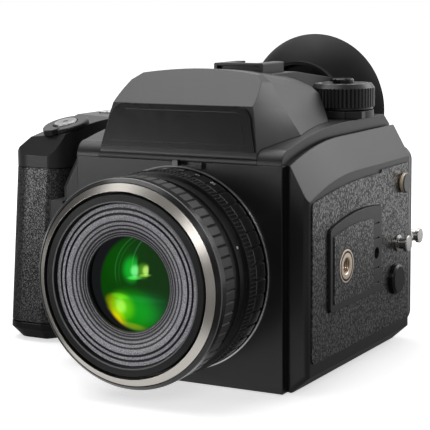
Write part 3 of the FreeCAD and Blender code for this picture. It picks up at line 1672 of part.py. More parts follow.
def make_pentaprism():
    body = new_body("pentaprism")
    low_z = d.box_high_z + d.screen_thick
    pad(body, "YZ", -d.penta_half, d.penta_half, [
        (d.penta_front_y, low_z), (d.screen_rear_y, low_z), (d.screen_rear_y, d.penta_heel_z),
        (d.penta_rear_y, d.penta_shoulder_z), (d.penta_rear_y, d.penta_rear_z),
        (d.penta_top_rear_y, d.penta_top_z),
        (d.penta_top_front_y, d.penta_top_z), (d.penta_front_y, d.penta_front_z)])
    for side in (-1, 1):
        corners = [(side * d.penta_half, d.penta_shoulder_z),
                   (side * d.penta_top_half, d.penta_top_z),
                   (side * d.penta_half, d.penta_top_z)]
        cut(body, "XZ", d.penta_front_y, d.screen_rear_y, corners)
    return body


def make_reflex_mirror():
    """The glass on its holder, drawn flat under the hinge and turned down to its angle."""
    body = new_body("reflex_mirror")
    thick = d.mirror_glass + d.mirror_holder
    low = d.hinge_overlap - d.mirror_hinge_radius - thick
    pad(body, "XY", low, low + thick,
        rectangle(-d.mirror_half, d.mirror_half, -d.mirror_length, d.mirror_heel))
    end = d.box_half - d.hinge_play
    turned(body, "X", (0, 0, 0), [
        (-end, 0), (-end, d.mirror_hinge_radius), (end, d.mirror_hinge_radius), (end, 0)])
    body.Placement = FreeCAD.Placement(Vector(),
                                       FreeCAD.Rotation(ALONG_X, d.mirror_angle.value))
    bind(body, "Placement.Rotation.Angle", d.mirror_angle)
    bind(body, "Placement.Base.y", d.mirror_hinge_y)
    bind(body, "Placement.Base.z", d.mirror_hinge_z)
    return body


def make_shutter_frame():
    body = new_body("shutter_frame")
    pad(body, "XZ", d.shutter_front_y, d.shutter_rear_y,
        rectangle(-d.box_half, d.box_half, d.chamber_low_z, d.chamber_high_z))
    cut(body, "XZ", d.shutter_front_y, d.shutter_rear_y,
        rectangle(-d.gate_half_width, d.gate_half_width,
                  d.lens_z - d.gate_half_height, d.lens_z + d.gate_half_height))
    room = d.blade_half + d.slide_gap
    cut(body, "XZ", d.shutter_front_y + d.shutter_wall, d.shutter_rear_y - d.shutter_wall,
        rectangle(-room, room, d.chamber_low_z + d.blade_park,
                  d.lens_z + d.gate_half_height + d.blade_room))
    return body


def make_shutter_blade(number, label):
    body = new_body(label)
    front = d.shutter_front_y + d.shutter_wall + d.blade_gap + d.blade_pitch * number
    low_z = d.blade_low_z + (d.blade_height - d.blade_lap) * number
    pad(body, "XZ", front, front + d.blade_thick,
        rectangle(-d.blade_half, d.blade_half, low_z, low_z + d.blade_height))
    return body


# Film back

def make_film_back():
    body = new_body("film_back")
    front = d.seam_y + d.parting_gap
    pad(body, "XZ", front, d.back_rear_y,
        rectangle(-d.back_half, d.back_half, d.back_low_z, d.back_high_z))
    fillet(body, d.back_corner, lambda e: runs_along(e, ALONG_Y))
    rear = d.back_rear_y.value
    fillet(body, d.back_edge, lambda e: near(e.BoundBox.YMin, rear) and near(e.BoundBox.YMax, rear))
    cut(body, "XZ", d.back_rear_y - d.memo_depth, d.back_rear_y,
        rectangle(-d.memo_half, d.memo_half, d.memo_low_z, d.memo_high_z))
    cut(body, "XZ", d.back_rear_y - d.key_hole, d.back_rear_y,
        (d.key_x, d.key_z, d.key_shaft_radius + d.running_gap))
    return body


def make_film_insert():
    """The frame that carries the spools: two side plates, a back wall and a middle bridge."""
    body = new_body("film_insert")
    rear = d.seam_y + d.parting_gap
    half, wall = d.insert_half, d.insert_wall
    pad(body, "XZ", d.insert_front_y, rear,
        rectangle(-half, half, d.insert_low_z, d.insert_top_z))
    skin = d.insert_skin
    bridge = d.spool_offset_z - d.spool_room_radius
    inner = half - wall
    cut(body, "YZ", -inner, inner,
        rectangle(d.insert_front_y, rear - skin, d.insert_low_z + skin, d.lens_z - bridge),
        rectangle(d.insert_front_y, rear - skin, d.lens_z + bridge, d.insert_top_z - skin))
    journal = d.journal_radius + d.running_gap
    cut(body, "YZ", -half, half, (d.spool_y, d.lens_z - d.spool_offset_z, journal),
        (d.spool_y, d.lens_z + d.spool_offset_z, journal))
    return body


def make_pressure_plate():
    body = new_body("pressure_plate")
    front, rear = d.pressure_front_y, d.pressure_front_y + d.pressure_thick
    high, low = d.lens_z + d.pressure_half_height, d.lens_z - d.pressure_half_height
    wide = d.pressure_half_width
    pad(body, "XZ", front, rear, rectangle(-wide, wide, low, high))
    fillet(body, d.pressure_corner, lambda e: runs_along(e, ALONG_Y))
    reach = d.spring_pad_half_height
    pads = [rectangle(x - d.spring_pad_half, x + d.spring_pad_half,
                      d.lens_z - reach, d.lens_z + reach)
            for x in (-d.spring_pad_x, d.spring_pad_x)]
    pad(body, "XZ", rear, d.insert_front_y, *pads)
    return body


def spool_profile(core_radius):
    half, flange, end = d.spool_half, d.spool_flange, d.spool_half + d.journal_length
    rim, pin = d.spool_flange_radius, d.journal_radius
    return [(-end, 0), (-end, pin), (-half, pin), (-half, rim), (-half + flange, rim),
            (-half + flange, core_radius), (half - flange, core_radius), (half - flange, rim),
            (half, rim), (half, pin), (end, pin), (end, 0)]


def make_spool(label, offset, core_radius):
    body = new_body(label)
    turned(body, "X", (0, d.spool_y, d.lens_z + offset), spool_profile(core_radius))
    return body


def make_lock_key():
    """The key on the film back: a short shaft with a cross bar that ends in a flat knob."""
    body = new_body("back_lock_key")
    x, z, shaft = d.key_x, d.key_z, d.key_shaft_radius
    root, end = d.back_rear_y - d.key_root, d.back_rear_y + d.key_rise
    hub_low = d.back_rear_y + d.parting_gap
    hub_high = hub_low + d.key_hub
    turned(body, "Y", (x, 0, z), [
        (root, 0), (root, shaft), (hub_low, shaft), (hub_low, d.key_hub_radius),
        (hub_high, d.key_hub_radius), (hub_high + d.key_taper, shaft), (end, shaft), (end, 0)])
    half, bar = d.key_bar_half, d.key_bar_radius
    turned(body, "X", (x, end, z), [
        (-half, 0), (-half, bar), (half - d.key_knob, bar), (half - d.key_knob, d.key_knob_radius),
        (half, d.key_knob_radius), (half, 0)])
    return body


# Controls

def make_shutter_dial():
    body = new_body("shutter_dial")
    centre = (d.dial_x, d.dial_y, 0)
    lock = d.dial_lock_radius + d.running_gap
    turned(body, "Z", centre, [
        (0, d.deck_z), (d.dial_hub_radius, d.deck_z), (d.dial_hub_radius, d.dial_low_z),
        (d.dial_skirt_radius, d.dial_low_z), (d.dial_skirt_radius, d.dial_knurl_low_z),
        (d.dial_radius, d.dial_knurl_low_z), (d.dial_radius, d.dial_knurl_high_z),
        (d.dial_top_radius, d.dial_top_z), (lock, d.dial_top_z),
        (lock, d.dial_top_z - d.dial_lock_depth), (0, d.dial_top_z - d.dial_lock_depth)])
    dial_grooves(body, d.dial_x, d.dial_y, d.dial_radius, d.dial_knurl_low_z,
                 d.dial_knurl_high_z, SHUTTER_DIAL_GROOVE_COUNT)
    return body


def dial_grooves(body, x, y, radius, low_z, high_z, count):
    """Upright grooves round the rim of a dial on the deck."""
    corners = groove_corners(y, x + radius, d.dial_groove_wide, d.dial_groove_deep)
    groove = cut(body, "XY", low_z, high_z, [(rim, along) for along, rim in corners])
    turn = [part for part in body.Group if part.TypeId == "PartDesign::Revolution"][0]
    return repeat(body, groove, (turn.Profile[0], ["V_Axis"]), count)


def make_dial_lock():
    body = new_body("dial_lock_button")
    low = d.dial_top_z - d.dial_lock_depth + d.dial_lock_travel
    high = d.dial_top_z + d.dial_lock_rise
    radius, edge = d.dial_lock_radius, d.dial_lock_edge
    turned(body, "Z", (d.dial_x, d.dial_y, 0), [
        (0, low), (radius, low), (radius, high - edge), (radius - edge, high), (0, high)])
    return body


def make_drive_lever():
    """The ring under the dial, with a finger tab."""
    body = new_body("drive_lever")
    bore = d.dial_hub_radius + d.running_gap
    turned(body, "Z", (d.dial_x, d.dial_y, 0), [
        (bore, d.lever_low_z), (d.lever_radius, d.lever_low_z),
        (d.lever_radius, d.lever_high_z), (bore, d.lever_high_z)])
    near_x, far_x = d.lever_tab_x, d.lever_tab_end_x
    tip_y, root_y, slope = d.lever_tab_tip_y, d.lever_tab_root_y, d.lever_tab_slope
    pad(body, "XY", d.lever_low_z, d.lever_high_z,
        [(near_x, root_y), (near_x, tip_y), (far_x, tip_y + slope), (far_x, root_y + slope)])
    return body


def make_exposure_dial():
    body = new_body("exposure_dial")
    turned(body, "Z", (d.exposure_x, d.exposure_y, 0), [
        (0, d.deck_z), (d.exposure_hub_radius, d.deck_z), (d.exposure_hub_radius, d.exposure_low_z),
        (d.exposure_radius, d.exposure_low_z),
        (d.exposure_radius, d.exposure_high_z - d.exposure_edge),
        (d.exposure_radius - d.exposure_edge, d.exposure_high_z), (0, d.exposure_high_z)])
    dial_grooves(body, d.exposure_x, d.exposure_y, d.exposure_radius,
                 d.exposure_low_z + d.exposure_rim, d.exposure_high_z - d.exposure_edge,
                 EXPOSURE_DIAL_GROOVE_COUNT)
    return body


def make_lcd_window():
    body = new_body("lcd_window")
    pad(body, "XY", d.grip_top_z, d.grip_top_z + d.lcd_rise,
        rectangle(d.lcd_x - d.lcd_half_x, d.lcd_x + d.lcd_half_x,
                  d.lcd_y - d.lcd_half_y, d.lcd_y + d.lcd_half_y))
    fillet(body, d.lcd_corner, lambda e: runs_along(e, ALONG_Z))
    return body


def make_release_housing():
    body = new_body("release_housing")
    pad(body, "XZ", d.cheek_y, d.release_rear_y,
        rectangle(d.release_out_x, -d.pod_half, d.release_low_z, d.release_high_z))
    out = d.release_out_x.value
    fillet(body, d.release_corner,
           lambda e: near(e.BoundBox.XMin, out) and near(e.BoundBox.XMax, out))
    cut(body, "XZ", d.cheek_y, d.cheek_y + d.release_well,
        (d.release_x, d.release_button_z, d.release_button_radius + d.running_gap))
    return body


def make_release_button():
    body = new_body("lens_release_button")
    front = d.cheek_y - d.release_button_rise
    rear = d.cheek_y + d.release_well - d.release_travel - d.release_play
    radius, edge = d.release_button_radius, d.release_edge
    turned(body, "Y", (d.release_x, 0, d.release_button_z), [
        (front, 0), (front, radius - edge), (front + edge, radius), (rear, radius), (rear, 0)])
    return body


make_main_housing()
make_front_cover()
make_base_plate()
make_side_cover_left()
make_side_cover_right()
make_prism_housing()
make_nameplate()
make_hot_shoe()
make_eyepiece_frame()
make_eyepiece_lens()
make_eyecup()
make_grip_shell()
make_grip_leather()
make_grip_top_cover()
make_shutter_button()
make_power_ring()
make_grip_base_cap()
make_battery_holder()
make_battery_cells()
make_drive_motor()
make_tripod_plate()
make_side_leather()
make_plate_leather()
make_side_tripod_socket()
make_base_tripod_socket()
make_strap_lugs()
make_strap_stud()
make_socket_cap()
make_lens_mount_ring()
make_mount_screws()
make_lens_barrel()
make_aperture_ring()
make_focus_ring()
make_focus_grip()
make_silver_ring()
make_inner_barrel()
make_front_disc()
make_front_lens()
make_rear_lens()
make_mirror_box()
make_focusing_screen()
make_pentaprism()
make_reflex_mirror()
make_shutter_frame()
for number, place in enumerate(("low", "middle", "high")):
    make_shutter_blade(number, "shutter_blade_" + place)
make_film_back()
make_film_insert()
make_pressure_plate()
make_spool("film_roll", -d.spool_offset_z, d.film_wound_radius)
make_spool("takeup_spool", d.spool_offset_z, d.spool_core_radius)
make_lock_key()
make_shutter_dial()
make_dial_lock()
make_drive_lever()
make_exposure_dial()
make_lcd_window()
make_release_housing()
make_release_button()

document.recompute()

# Every object has to be sound, and every cut has to remove something, before it is written.

faults = []
for thing in document.Objects:
    if "Invalid" in thing.State or "Error" in thing.State:
        faults.append("%s failed" % thing.Name)
    elif thing.TypeId in ("PartDesign::Pocket", "PartDesign::Groove"):
        before = thing.BaseFeature.Shape
        if before.isNull() or thing.Shape.Volume > before.Volume - 1e-4:
            faults.append("%s cuts nothing" % thing.Name)

bodies = [thing for thing in document.Objects if thing.TypeId == "PartDesign::Body"]
for body in bodies:
    if body.Shape.isNull() or not body.Shape.isValid():
        faults.append("%s has no sound shape" % body.Label)
if faults:
    raise RuntimeError("; ".join(faults))

os.makedirs("parts", exist_ok=True)
for body in bodies:
    body.Shape.exportStep("parts/%s.step" % body.Label)
    print("%-22s %2d solid(s) %9.1f mm3" % (body.Label, len(body.Shape.Solids), body.Shape.Volume))
print(len(bodies), "sub-parts")
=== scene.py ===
import math

import bmesh
import bpy
from mathutils import Matrix, Vector


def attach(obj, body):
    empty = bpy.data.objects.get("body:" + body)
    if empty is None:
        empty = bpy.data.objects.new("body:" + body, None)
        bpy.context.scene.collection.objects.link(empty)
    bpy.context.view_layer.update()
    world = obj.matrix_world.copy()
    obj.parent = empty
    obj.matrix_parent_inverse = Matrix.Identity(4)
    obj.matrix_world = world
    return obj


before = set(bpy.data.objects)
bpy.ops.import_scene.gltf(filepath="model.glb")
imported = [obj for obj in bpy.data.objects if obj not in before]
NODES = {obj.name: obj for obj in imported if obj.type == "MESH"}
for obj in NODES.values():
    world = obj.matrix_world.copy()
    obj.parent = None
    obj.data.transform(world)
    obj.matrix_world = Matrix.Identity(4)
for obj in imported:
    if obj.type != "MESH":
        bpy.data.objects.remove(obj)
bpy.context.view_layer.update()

MM = 0.001

# Places on the camera, in mm

LENS_Z = 42.2                   # height of the lens axis
LENS_AXIS = (0, LENS_Z)         # in x and z
SOCKET_AXIS = (-13.8, LENS_Z)   # the side tripod socket, in y and z
SHUTTER_DIAL = (32.6, 30.0)     # in x and y, as the next two
EXPOSURE_DIAL = (-31.5, 30.0)
SHUTTER_BUTTON = (-77.1, -2.3)
SHUTTER_DIAL_Z = 106.0          # the dials' flat tops
EXPOSURE_DIAL_Z = 101.0
SHOE_FLOOR_Z = 111.4
DISPLAY_Z = 91.8                # the display window's outer face


# Node nets: arithmetic on signals adds the nodes that work it out

class Signal:
    """A value or colour that comes out of a node."""

    def __init__(self, net, socket):
        self.net = net
        self.socket = socket

    def maths(self, operation, *operands):
        """The result of one operation on signals and numbers."""
        return self.net.value("ShaderNodeMath", {"operation": operation}, operands)

    def __add__(self, other):
        return self.maths("ADD", self, other)

    def __radd__(self, other):
        return self.maths("ADD", other, self)

    def __sub__(self, other):
        return self.maths("SUBTRACT", self, other)

    def __rsub__(self, other):
        return self.maths("SUBTRACT", other, self)

    def __mul__(self, other):
        return self.maths("MULTIPLY", self, other)

    def __rmul__(self, other):
        return self.maths("MULTIPLY", other, self)

    def __truediv__(self, other):
        return self.maths("DIVIDE", self, other)

    def __rtruediv__(self, other):
        return self.maths("DIVIDE", other, self)

    def __pow__(self, other):
        return self.maths("POWER", self, other)

    def __rpow__(self, other):
        return self.maths("POWER", other, self)

    def __abs__(self):
        return self.maths("ABSOLUTE", self)

    def highest(self, other):
        """The higher of two values."""
        return self.maths("MAXIMUM", self, other)

    def fade(self, low, high, start=0.0, end=1.0):
        """The value mapped smoothly from one range to another, held at the ends."""
        return self.net.value("ShaderNodeMapRange", {"interpolation_type": "SMOOTHSTEP"},
                              {"Value": self, "From Min": low, "From Max": high,
                               "To Min": start, "To Max": end})

    def band(self, low, high, soft):
        """1 between two levels and 0 outside them, with soft flanks."""
        return self.fade(low - soft, low) * self.fade(high + soft, high)


class Net:
    """The nodes of one material or of the world."""

    def __init__(self, tree):
        self.tree = tree

    def add(self, kind, settings=None, inputs=()):
        """A node of a type, with its settings first and then its sockets' values or links."""
        node = self.tree.nodes.new(kind)
        for name, value in (settings or {}).items():
            setattr(node, name, value)
        for key, value in (inputs.items() if isinstance(inputs, dict) else enumerate(inputs)):
            socket = node.inputs[key]
            if isinstance(value, Signal):
                self.tree.links.new(value.socket, socket)
            elif socket.type == "RGBA":
                socket.default_value = (*value, 1)
            else:
                socket.default_value = value
        return node

    def value(self, kind, settings=None, inputs=(), output=0):
        """What comes out of a new node at one of its sockets."""
        return Signal(self, self.add(kind, settings, inputs).outputs[output])

    def vector(self, operation, *operands, output=0):
        """The result of one operation on vectors or colours."""
        return self.value("ShaderNodeVectorMath", {"operation": operation}, operands, output)

    def axes(self, vector):
        """The three parts of a vector."""
        split = self.add("ShaderNodeSeparateXYZ", {}, (vector,))
        return [Signal(self, socket) for socket in split.outputs]

    def blend(self, share, first, second):
        """A colour between two, by a share from 0 to 1."""
        return self.value("ShaderNodeMix", {"data_type": "RGBA"},
                          {0: share, 6: first, 7: second}, 2)

    def seen_directly(self):
        """1 for the camera's own rays, and 1 for those and the rays of mirrors and glass."""
        rays = self.add("ShaderNodeLightPath").outputs
        camera, glossy, through = (Signal(self, rays[name]) for name in
                                   ("Is Camera Ray", "Is Glossy Ray", "Is Transmission Ray"))
        return camera, camera.highest(glossy).highest(through)


class Finish(Net):
    """A surface finish. Its shader takes plain numbers, and signals where it varies."""

    def __init__(self, name, colour, roughness, **plain):
        self.material = bpy.data.materials.new(name)
        self.material.use_nodes = True
        super().__init__(self.material.node_tree)
        self.shader = self.tree.nodes["Principled BSDF"]
        self.shader.inputs["Base Color"].default_value = (*colour, 1)
        self.shader.inputs["Roughness"].default_value = roughness
        for socket, number in plain.items():
            self.shader.inputs[socket.replace("_", " ")].default_value = number
        self.colour = colour
        self.place_signal = None

    @property
    def place(self):
        """The place on the piece in mm from its origin, which on a solid is the frame's."""
        if self.place_signal is None:
            metres = self.value("ShaderNodeTexCoord", output="Object")
            self.place_signal = self.vector("MULTIPLY", metres, (1 / MM,) * 3)
        return self.place_signal

    def noise(self, per_mm, detail=2.0, stretch=(1, 1, 1), output=0):
        """Noise from 0 to 1, or its colour as output 1, so many cells to the millimetre."""
        spread = self.vector("MULTIPLY", self.place, [per_mm * share for share in stretch])
        return self.value("ShaderNodeTexNoise", {},
                          {"Vector": spread, "Scale": 1.0, "Detail": detail}, output)

    def polar(self, axis="Y", centre=LENS_AXIS):
        """Distance from an axis and place along it, in mm."""
        x, y, z = self.axes(self.place)
        (u, v), along = {"X": ((y, z), x), "Y": ((x, z), y), "Z": ((x, y), z)}[axis]
        u, v = u - centre[0], v - centre[1]
        return (u * u + v * v) ** 0.5, along

    def near(self, point, radius, soft):
        """1 inside a ball and 0 outside it, with a soft skin, in mm."""
        away = self.vector("DISTANCE", self.place, point, output="Value")
        return away.fade(radius + soft / 2, radius - soft / 2)

    def drive(self, name, signal):
        """Lets a signal set one of the shader's inputs."""
        self.tree.links.new(signal.socket, self.shader.inputs[name])

    def paint(self, share, colour):
        """Lays a colour over what is there, by a share from 0 to 1."""
        self.colour = self.blend(share, self.colour, colour)
        self.drive("Base Color", self.colour)

    def gloss(self, roughness):
        """Sets how dull the surface is, from place to place."""
        self.drive("Roughness", roughness)

    def relief(self, height_mm, edge_mm=0.0):
        """Raises the surface by a height in mm, over edges rounded by a radius in mm."""
        inputs = {"Height": height_mm, "Distance": MM, "Strength": 1.0}
        if edge_mm:
            inputs["Normal"] = self.value("ShaderNodeBevel", {"samples": 6},
                                          {"Radius": edge_mm * MM})
        self.drive("Normal", self.value("ShaderNodeBump", {}, inputs))


# Finishes

def grey(level, warmth=0.0):
    """A grey, a little warmer or colder by a share."""
    return (level * (1 + warmth), level, level * (1 - warmth))


def satin_paint(name, level, roughness, sheen=0.5):
    """Fine satin paint: a barely visible powder grain and slow changes of sheen."""
    finish = Finish(name, grey(level, -0.04), roughness, Specular_IOR_Level=sheen)
    powder = finish.noise(5.0, 1.0)
    cloud = finish.noise(0.06, 3.0)
    finish.paint(cloud.fade(0.35, 0.7), grey(level * 1.3, -0.04))
    finish.gloss(cloud * 0.07 + powder * 0.06 + (roughness - 0.065))
    finish.relief(powder * 0.010, edge_mm=0.5)
    return finish


def grained_leather(name, level, per_mm, depth_mm, shine):
    """Embossed leather: uneven rounded pebbles that shine, and dull creases painted dark as
    painted shade.
    """
    finish = Finish(name, grey(level), 0.6, Specular_IOR_Level=0.15, Coat_Roughness=0.32,
                    Coat_IOR=2.3)
    wander = finish.vector("SUBTRACT", finish.noise(0.8, output=1), (0.5, 0.5, 0.5))
    bent = finish.vector("MULTIPLY", wander, (1.6, 1.6, 1.6))
    spread = finish.vector("MULTIPLY", finish.place, (per_mm, per_mm, per_mm * 0.7))
    cells = finish.vector("ADD", spread, bent)
    pebble = finish.value("ShaderNodeTexVoronoi", {"feature": "DISTANCE_TO_EDGE"},
                          {"Vector": cells, "Scale": 1.0})
    crown = pebble.fade(0.0, 0.24)
    fine = finish.noise(2.6)
    # Painted shade: the creases between the pebbles are painted darker.
    finish.paint(1 - crown, grey(level * 0.2))
    finish.gloss(fine * 0.16 + 0.52)
    finish.drive("Coat Weight", (crown * 0.86 + 0.14) * shine)
    finish.relief(crown * depth_mm + fine * (depth_mm * 0.2))
    return finish


def moulded_rubber(name, level, roughness, sheen=0.4):
    """Dull moulded rubber: a pale bloom in patches and a faintly rough skin."""
    finish = Finish(name, grey(level), roughness, Specular_IOR_Level=sheen)
    bloom = finish.noise(0.12, 3.0)
    skin = finish.noise(3.5)
    finish.paint(bloom.fade(0.3, 0.75), grey(level * 1.5))
    finish.gloss(bloom * 0.14 + (roughness - 0.07))
    finish.relief(skin * 0.018, edge_mm=0.25)
    return finish


def turned_metal(name, colour, roughness, metallic=1.0, axis="Y", centre=LENS_AXIS,
                 per_mm=3.0, depth_mm=0.006, sheen=0.5):
    """Metal turned on a lathe: fine rings about an axis."""
    finish = Finish(name, colour, roughness, Metallic=metallic, Specular_IOR_Level=sheen)
    finish.radius, finish.along = finish.polar(axis, centre)
    finish.rings = finish.value("ShaderNodeTexNoise", {"noise_dimensions": "1D"},
                                {"W": (finish.radius + finish.along) * per_mm, "Scale": 1.0,
                                 "Detail": 2.0})
    finish.gloss(finish.rings * 0.12 + (roughness - 0.06))
    finish.relief(finish.rings * depth_mm, edge_mm=0.2)
    return finish


def smooth_plastic(name, colour, roughness, edge_mm=0.3, **plain):
    """Smooth moulding: a faint unevenness of sheen and very shallow ripples."""
    finish = Finish(name, colour, roughness, **plain)
    ripple = finish.noise(0.25)
    finish.gloss(ripple * 0.08 + (roughness - 0.04))
    finish.relief(ripple * 0.004, edge_mm)
    return finish


def plated_metal(name, colour, roughness):
    """Plated fittings: polished, with faint polishing streaks and slow dullness."""
    finish = Finish(name, colour, roughness, Metallic=1.0)
    streak = finish.noise(1.5, 3.0, stretch=(0.3, 1.0, 3.0))
    dull = finish.noise(0.4)
    finish.paint(dull.fade(0.3, 0.8, 0.0, 0.5), [share * 0.6 for share in colour])
    finish.gloss(streak * 0.10 + dull * 0.08 + (roughness - 0.09))
    finish.relief(streak * 0.006, edge_mm=0.2)
    return finish


def coated_glass():
    """Front glass: near black, with painted reflections, the green and amber lights of its
    coatings laid on as glow.
    """
    finish = Finish("coated_front_glass_painted_reflections", grey(0.001), 0.04, Specular_IOR_Level=0.0,
                    Emission_Strength=1.0)
    x, _, z = finish.axes(finish.place)
    z = z - LENS_Z

    def spot(at_x, at_z, wide, high, tilt=0.0):
        """An oval painted reflection that fades out from its middle."""
        u, v = x - at_x, z - at_z
        cosine, sine = math.cos(math.radians(tilt)), math.sin(math.radians(tilt))
        across = (u * cosine + v * sine) / (wide * 1.2)
        upright = (v * cosine - u * sine) / (high * 1.2)
        return (across * across + upright * upright).fade(1.0, 0.0) ** 2.4

    def thin_arc(at_x, at_z, radius, width):
        """A thin painted highlight, the upper left part of a circle."""
        u, v = x - at_x, z - at_z
        ring = ((u * u + v * v) ** 0.5).band(radius - width / 2, radius + width / 2, width)
        return ring * u.fade(0.0, -4.0) * v.fade(-6.0, -1.0)

    def left_of(edge):
        """1 on the left of an upright line and 0 on its right."""
        return x.fade(edge + 0.5, edge - 0.4)

    # Painted reflections: the glass glows with the green and amber reflections of its coatings,
    # as spots and arcs of emitted colour.
    light = finish.blend(x.fade(-12.0, 12.0), (0.003, 0.052, 0.002), (0.009, 0.034, 0.008))
    for share, colour in (
            (spot(-4.0, 7.0, 10.0, 9.0), (0.000, 0.020, 0.000)),
            (thin_arc(8.0, 4.5, 14.0, 0.26), (0.012, 0.050, 0.016)),
            (thin_arc(8.6, 4.5, 13.0, 0.22), (0.006, 0.026, 0.009)),
            (thin_arc(14.5, 7.0, 13.4, 0.26), (0.018, 0.060, 0.026)),
            (spot(0.9, 5.2, 4.6, 5.6) * left_of(3.0), (0.002, 0.340, 0.020)),
            (spot(2.4, 4.8, 2.4, 2.6) * left_of(3.5), (0.160, 0.500, 0.210)),
            (spot(5.4, 5.0, 3.2, 3.2) * left_of(7.3), (0.060, 0.240, 0.006)),
            (spot(6.5, 5.2, 1.7, 2.2) * left_of(7.3), (0.420, 0.520, 0.150)),
            (spot(2.2, 2.4, 3.4, 0.9, 5), (0.060, 0.460, 0.060)),
            (spot(6.0, 3.5, 2.8, 0.7, 5), (0.160, 0.320, 0.040)),
            (spot(-4.2, -4.6, 4.6, 1.3, -4), (0.060, 0.260, 0.002)),
            (spot(2.5, -5.0, 12.0, 1.6, -2), (0.002, 0.045, 0.008)),
            (spot(0.6, -9.8, 12.0, 9.4), (0.000, 0.240, 0.000)),
            (spot(8.0, -8.5, 9.0, 8.0), (0.000, 0.040, 0.010)),
            (spot(-3.8, -8.3, 6.4, 6.2), (0.100, 0.320, 0.000)),
            (spot(-4.2, -8.1, 3.0, 3.4, 10), (0.260, 0.330, 0.070)),
            (spot(-8.4, -6.4, 3.6, 2.6, 20), (0.160, 0.130, 0.000)),
            (spot(-7.2, -12.2, 4.6, 6.0, 38), (0.340, 0.220, 0.000)),
            (spot(-7.0, -13.4, 2.4, 3.6, 38), (0.360, 0.150, 0.000)),
            (spot(-10.4, -11.2, 0.5, 3.0, 26), (0.900, 0.800, 0.250)),
            (spot(-1.5, -15.4, 7.5, 1.7, -6), (0.150, 0.105, 0.006))):
        light = finish.vector("MULTIPLY_ADD", share, colour, light)
    # Painted shade: outside an off-centre circle the glass is painted near black, the shaded wall
    # of the cell behind it.
    u, v = x - 5.0, z + 0.3
    to_cell_wall = (u * u + v * v) ** 0.5
    light = finish.blend(to_cell_wall.fade(16.9, 18.8), light, (0.008, 0.009, 0.010))
    finish.drive("Emission Color", light)
    dust = finish.noise(0.5)
    finish.gloss(dust * 0.02 + 0.03)
    return finish


def grey_disc():
    """The disc round the front glass: grainy grey, with its two grooves and finer ones in rings,
    painted dark as painted shade.
    """
    finish = turned_metal("grey_disc", (0.260, 0.254, 0.282), 0.50, metallic=0.0,
                          per_mm=4.0, depth_mm=0.004, sheen=0.4)
    grain = finish.noise(3.2)
    finish.paint(grain.fade(0.42, 0.62), (0.580, 0.570, 0.606))
    lines = None
    for radius, half_width in ((17.5, 0.14), (18.3, 0.22), (19.4, 0.28), (20.8, 0.20),
                               (22.3, 0.26), (24.9, 0.34), (26.7, 0.34)):
        line = finish.radius.band(radius - half_width, radius + half_width, 0.16)
        lines = line if lines is None else lines.highest(line)
    finish.paint(finish.radius.fade(22.8, 17.0, 0.0, 0.55), (0.120, 0.117, 0.134))
    # Painted shade: the grooves cut along the lines are painted near black.
    finish.paint(lines * 0.95, (0.012, 0.012, 0.015))
    finish.paint(finish.radius.fade(17.2, 16.8), (0.02, 0.02, 0.02))
    finish.relief(lines * -0.10 + finish.rings * 0.004, edge_mm=0.15)
    return finish


def inner_barrel_black():
    """The inner barrel: black, with a grey band round its rim as a painted highlight, and a mark
    at its top.
    """
    finish = turned_metal("inner_barrel_black", grey(0.006), 0.34, metallic=0.0, sheen=0.3)
    front = finish.along.fade(-81.3, -81.7)
    top_mark = (0, -81.8, LENS_Z + 30.2)
    # Painted highlight: a thin grey band round the front of the rim.
    finish.paint(finish.radius.band(29.0, 29.4, 0.12) * front, (0.16, 0.16, 0.17))
    finish.paint(finish.near(top_mark, 0.75, 0.3), grey(0.003))
    return finish


def pad_ring_black():
    """The aperture ring: black pads whose front edges are painted grey as a painted highlight."""
    finish = turned_metal("aperture_ring_black", grey(0.010), 0.36, metallic=0.0)
    # Painted highlight: the front edges of the pads are painted grey.
    front = finish.along.band(-53.4, -52.9, 0.1) * finish.radius.fade(36.3, 36.6)
    finish.paint(front * 0.8, grey(0.16))
    return finish


def ribbed_focus_rubber():
    """The focusing grip: rubber blocks painted lighter on top as a painted highlight, with
    painted shade in the grooves between.
    """
    finish = moulded_rubber("ribbed_focus_rubber", 0.012, 0.50)
    radius, along = finish.polar()
    # Painted highlight: the tops of the blocks are painted lighter.
    finish.paint(radius.fade(36.6, 36.95) * along.band(-75.4, -69.8, 0.4), grey(0.045))
    # Painted shade: the grooves between the blocks are painted darker.
    finish.paint(radius.fade(36.5, 36.2), grey(0.002))
    return finish


def collar_black():
    """The lens barrel: black, with the crests of the collar's knurling painted grey as a painted
    highlight.
    """
    finish = turned_metal("lens_black", grey(0.009), 0.36, metallic=0.0)
    # Painted highlight: the crests of the knurling are painted grey.
    finish.paint(finish.radius.fade(37.15, 37.25), grey(0.045))
    return finish


def focus_ring_black():
    """The focus ring: gloss black, with a painted highlight along its front corner."""
    finish = turned_metal("focus_ring_black", grey(0.008), 0.26, metallic=0.0)
    # Painted highlight: the front corner is painted light.
    corner = finish.along.band(-79.0, -78.7, 0.12) * finish.radius.fade(36.9, 37.1)
    finish.paint(corner * 0.7, grey(0.30))
    return finish


def mount_ring_bright():
    """The mount ring: a dark face, bright inside, and a painted highlight along the left of its
    rim.
    """
    finish = turned_metal("mount_ring_bright", grey(0.03), 0.30)
    x = finish.axes(finish.place)[0]
    # Painted highlight: the rim is painted bright, fading out towards the other side.
    rim = finish.radius.band(37.35, 38.0, 0.1) * x.fade(6.0, 26.0, 0.1, 1.0)
    finish.paint(rim, grey(0.85))
    finish.paint(finish.radius.fade(35.2, 34.9), grey(0.60))
    return finish


def strap_lug_metal():
    """The strap lugs: warm bright rings round dark rivet heads."""
    finish = plated_metal("strap_lug_brass", (0.95, 0.80, 0.58), 0.30)
    x = finish.axes(finish.place)[0]
    faces = x.fade(53.9, 54.1).highest(x.fade(-100.1, -100.3))
    finish.paint(faces, grey(0.045))
    finish.shader.inputs["Metallic"].default_value = 0.35
    return finish


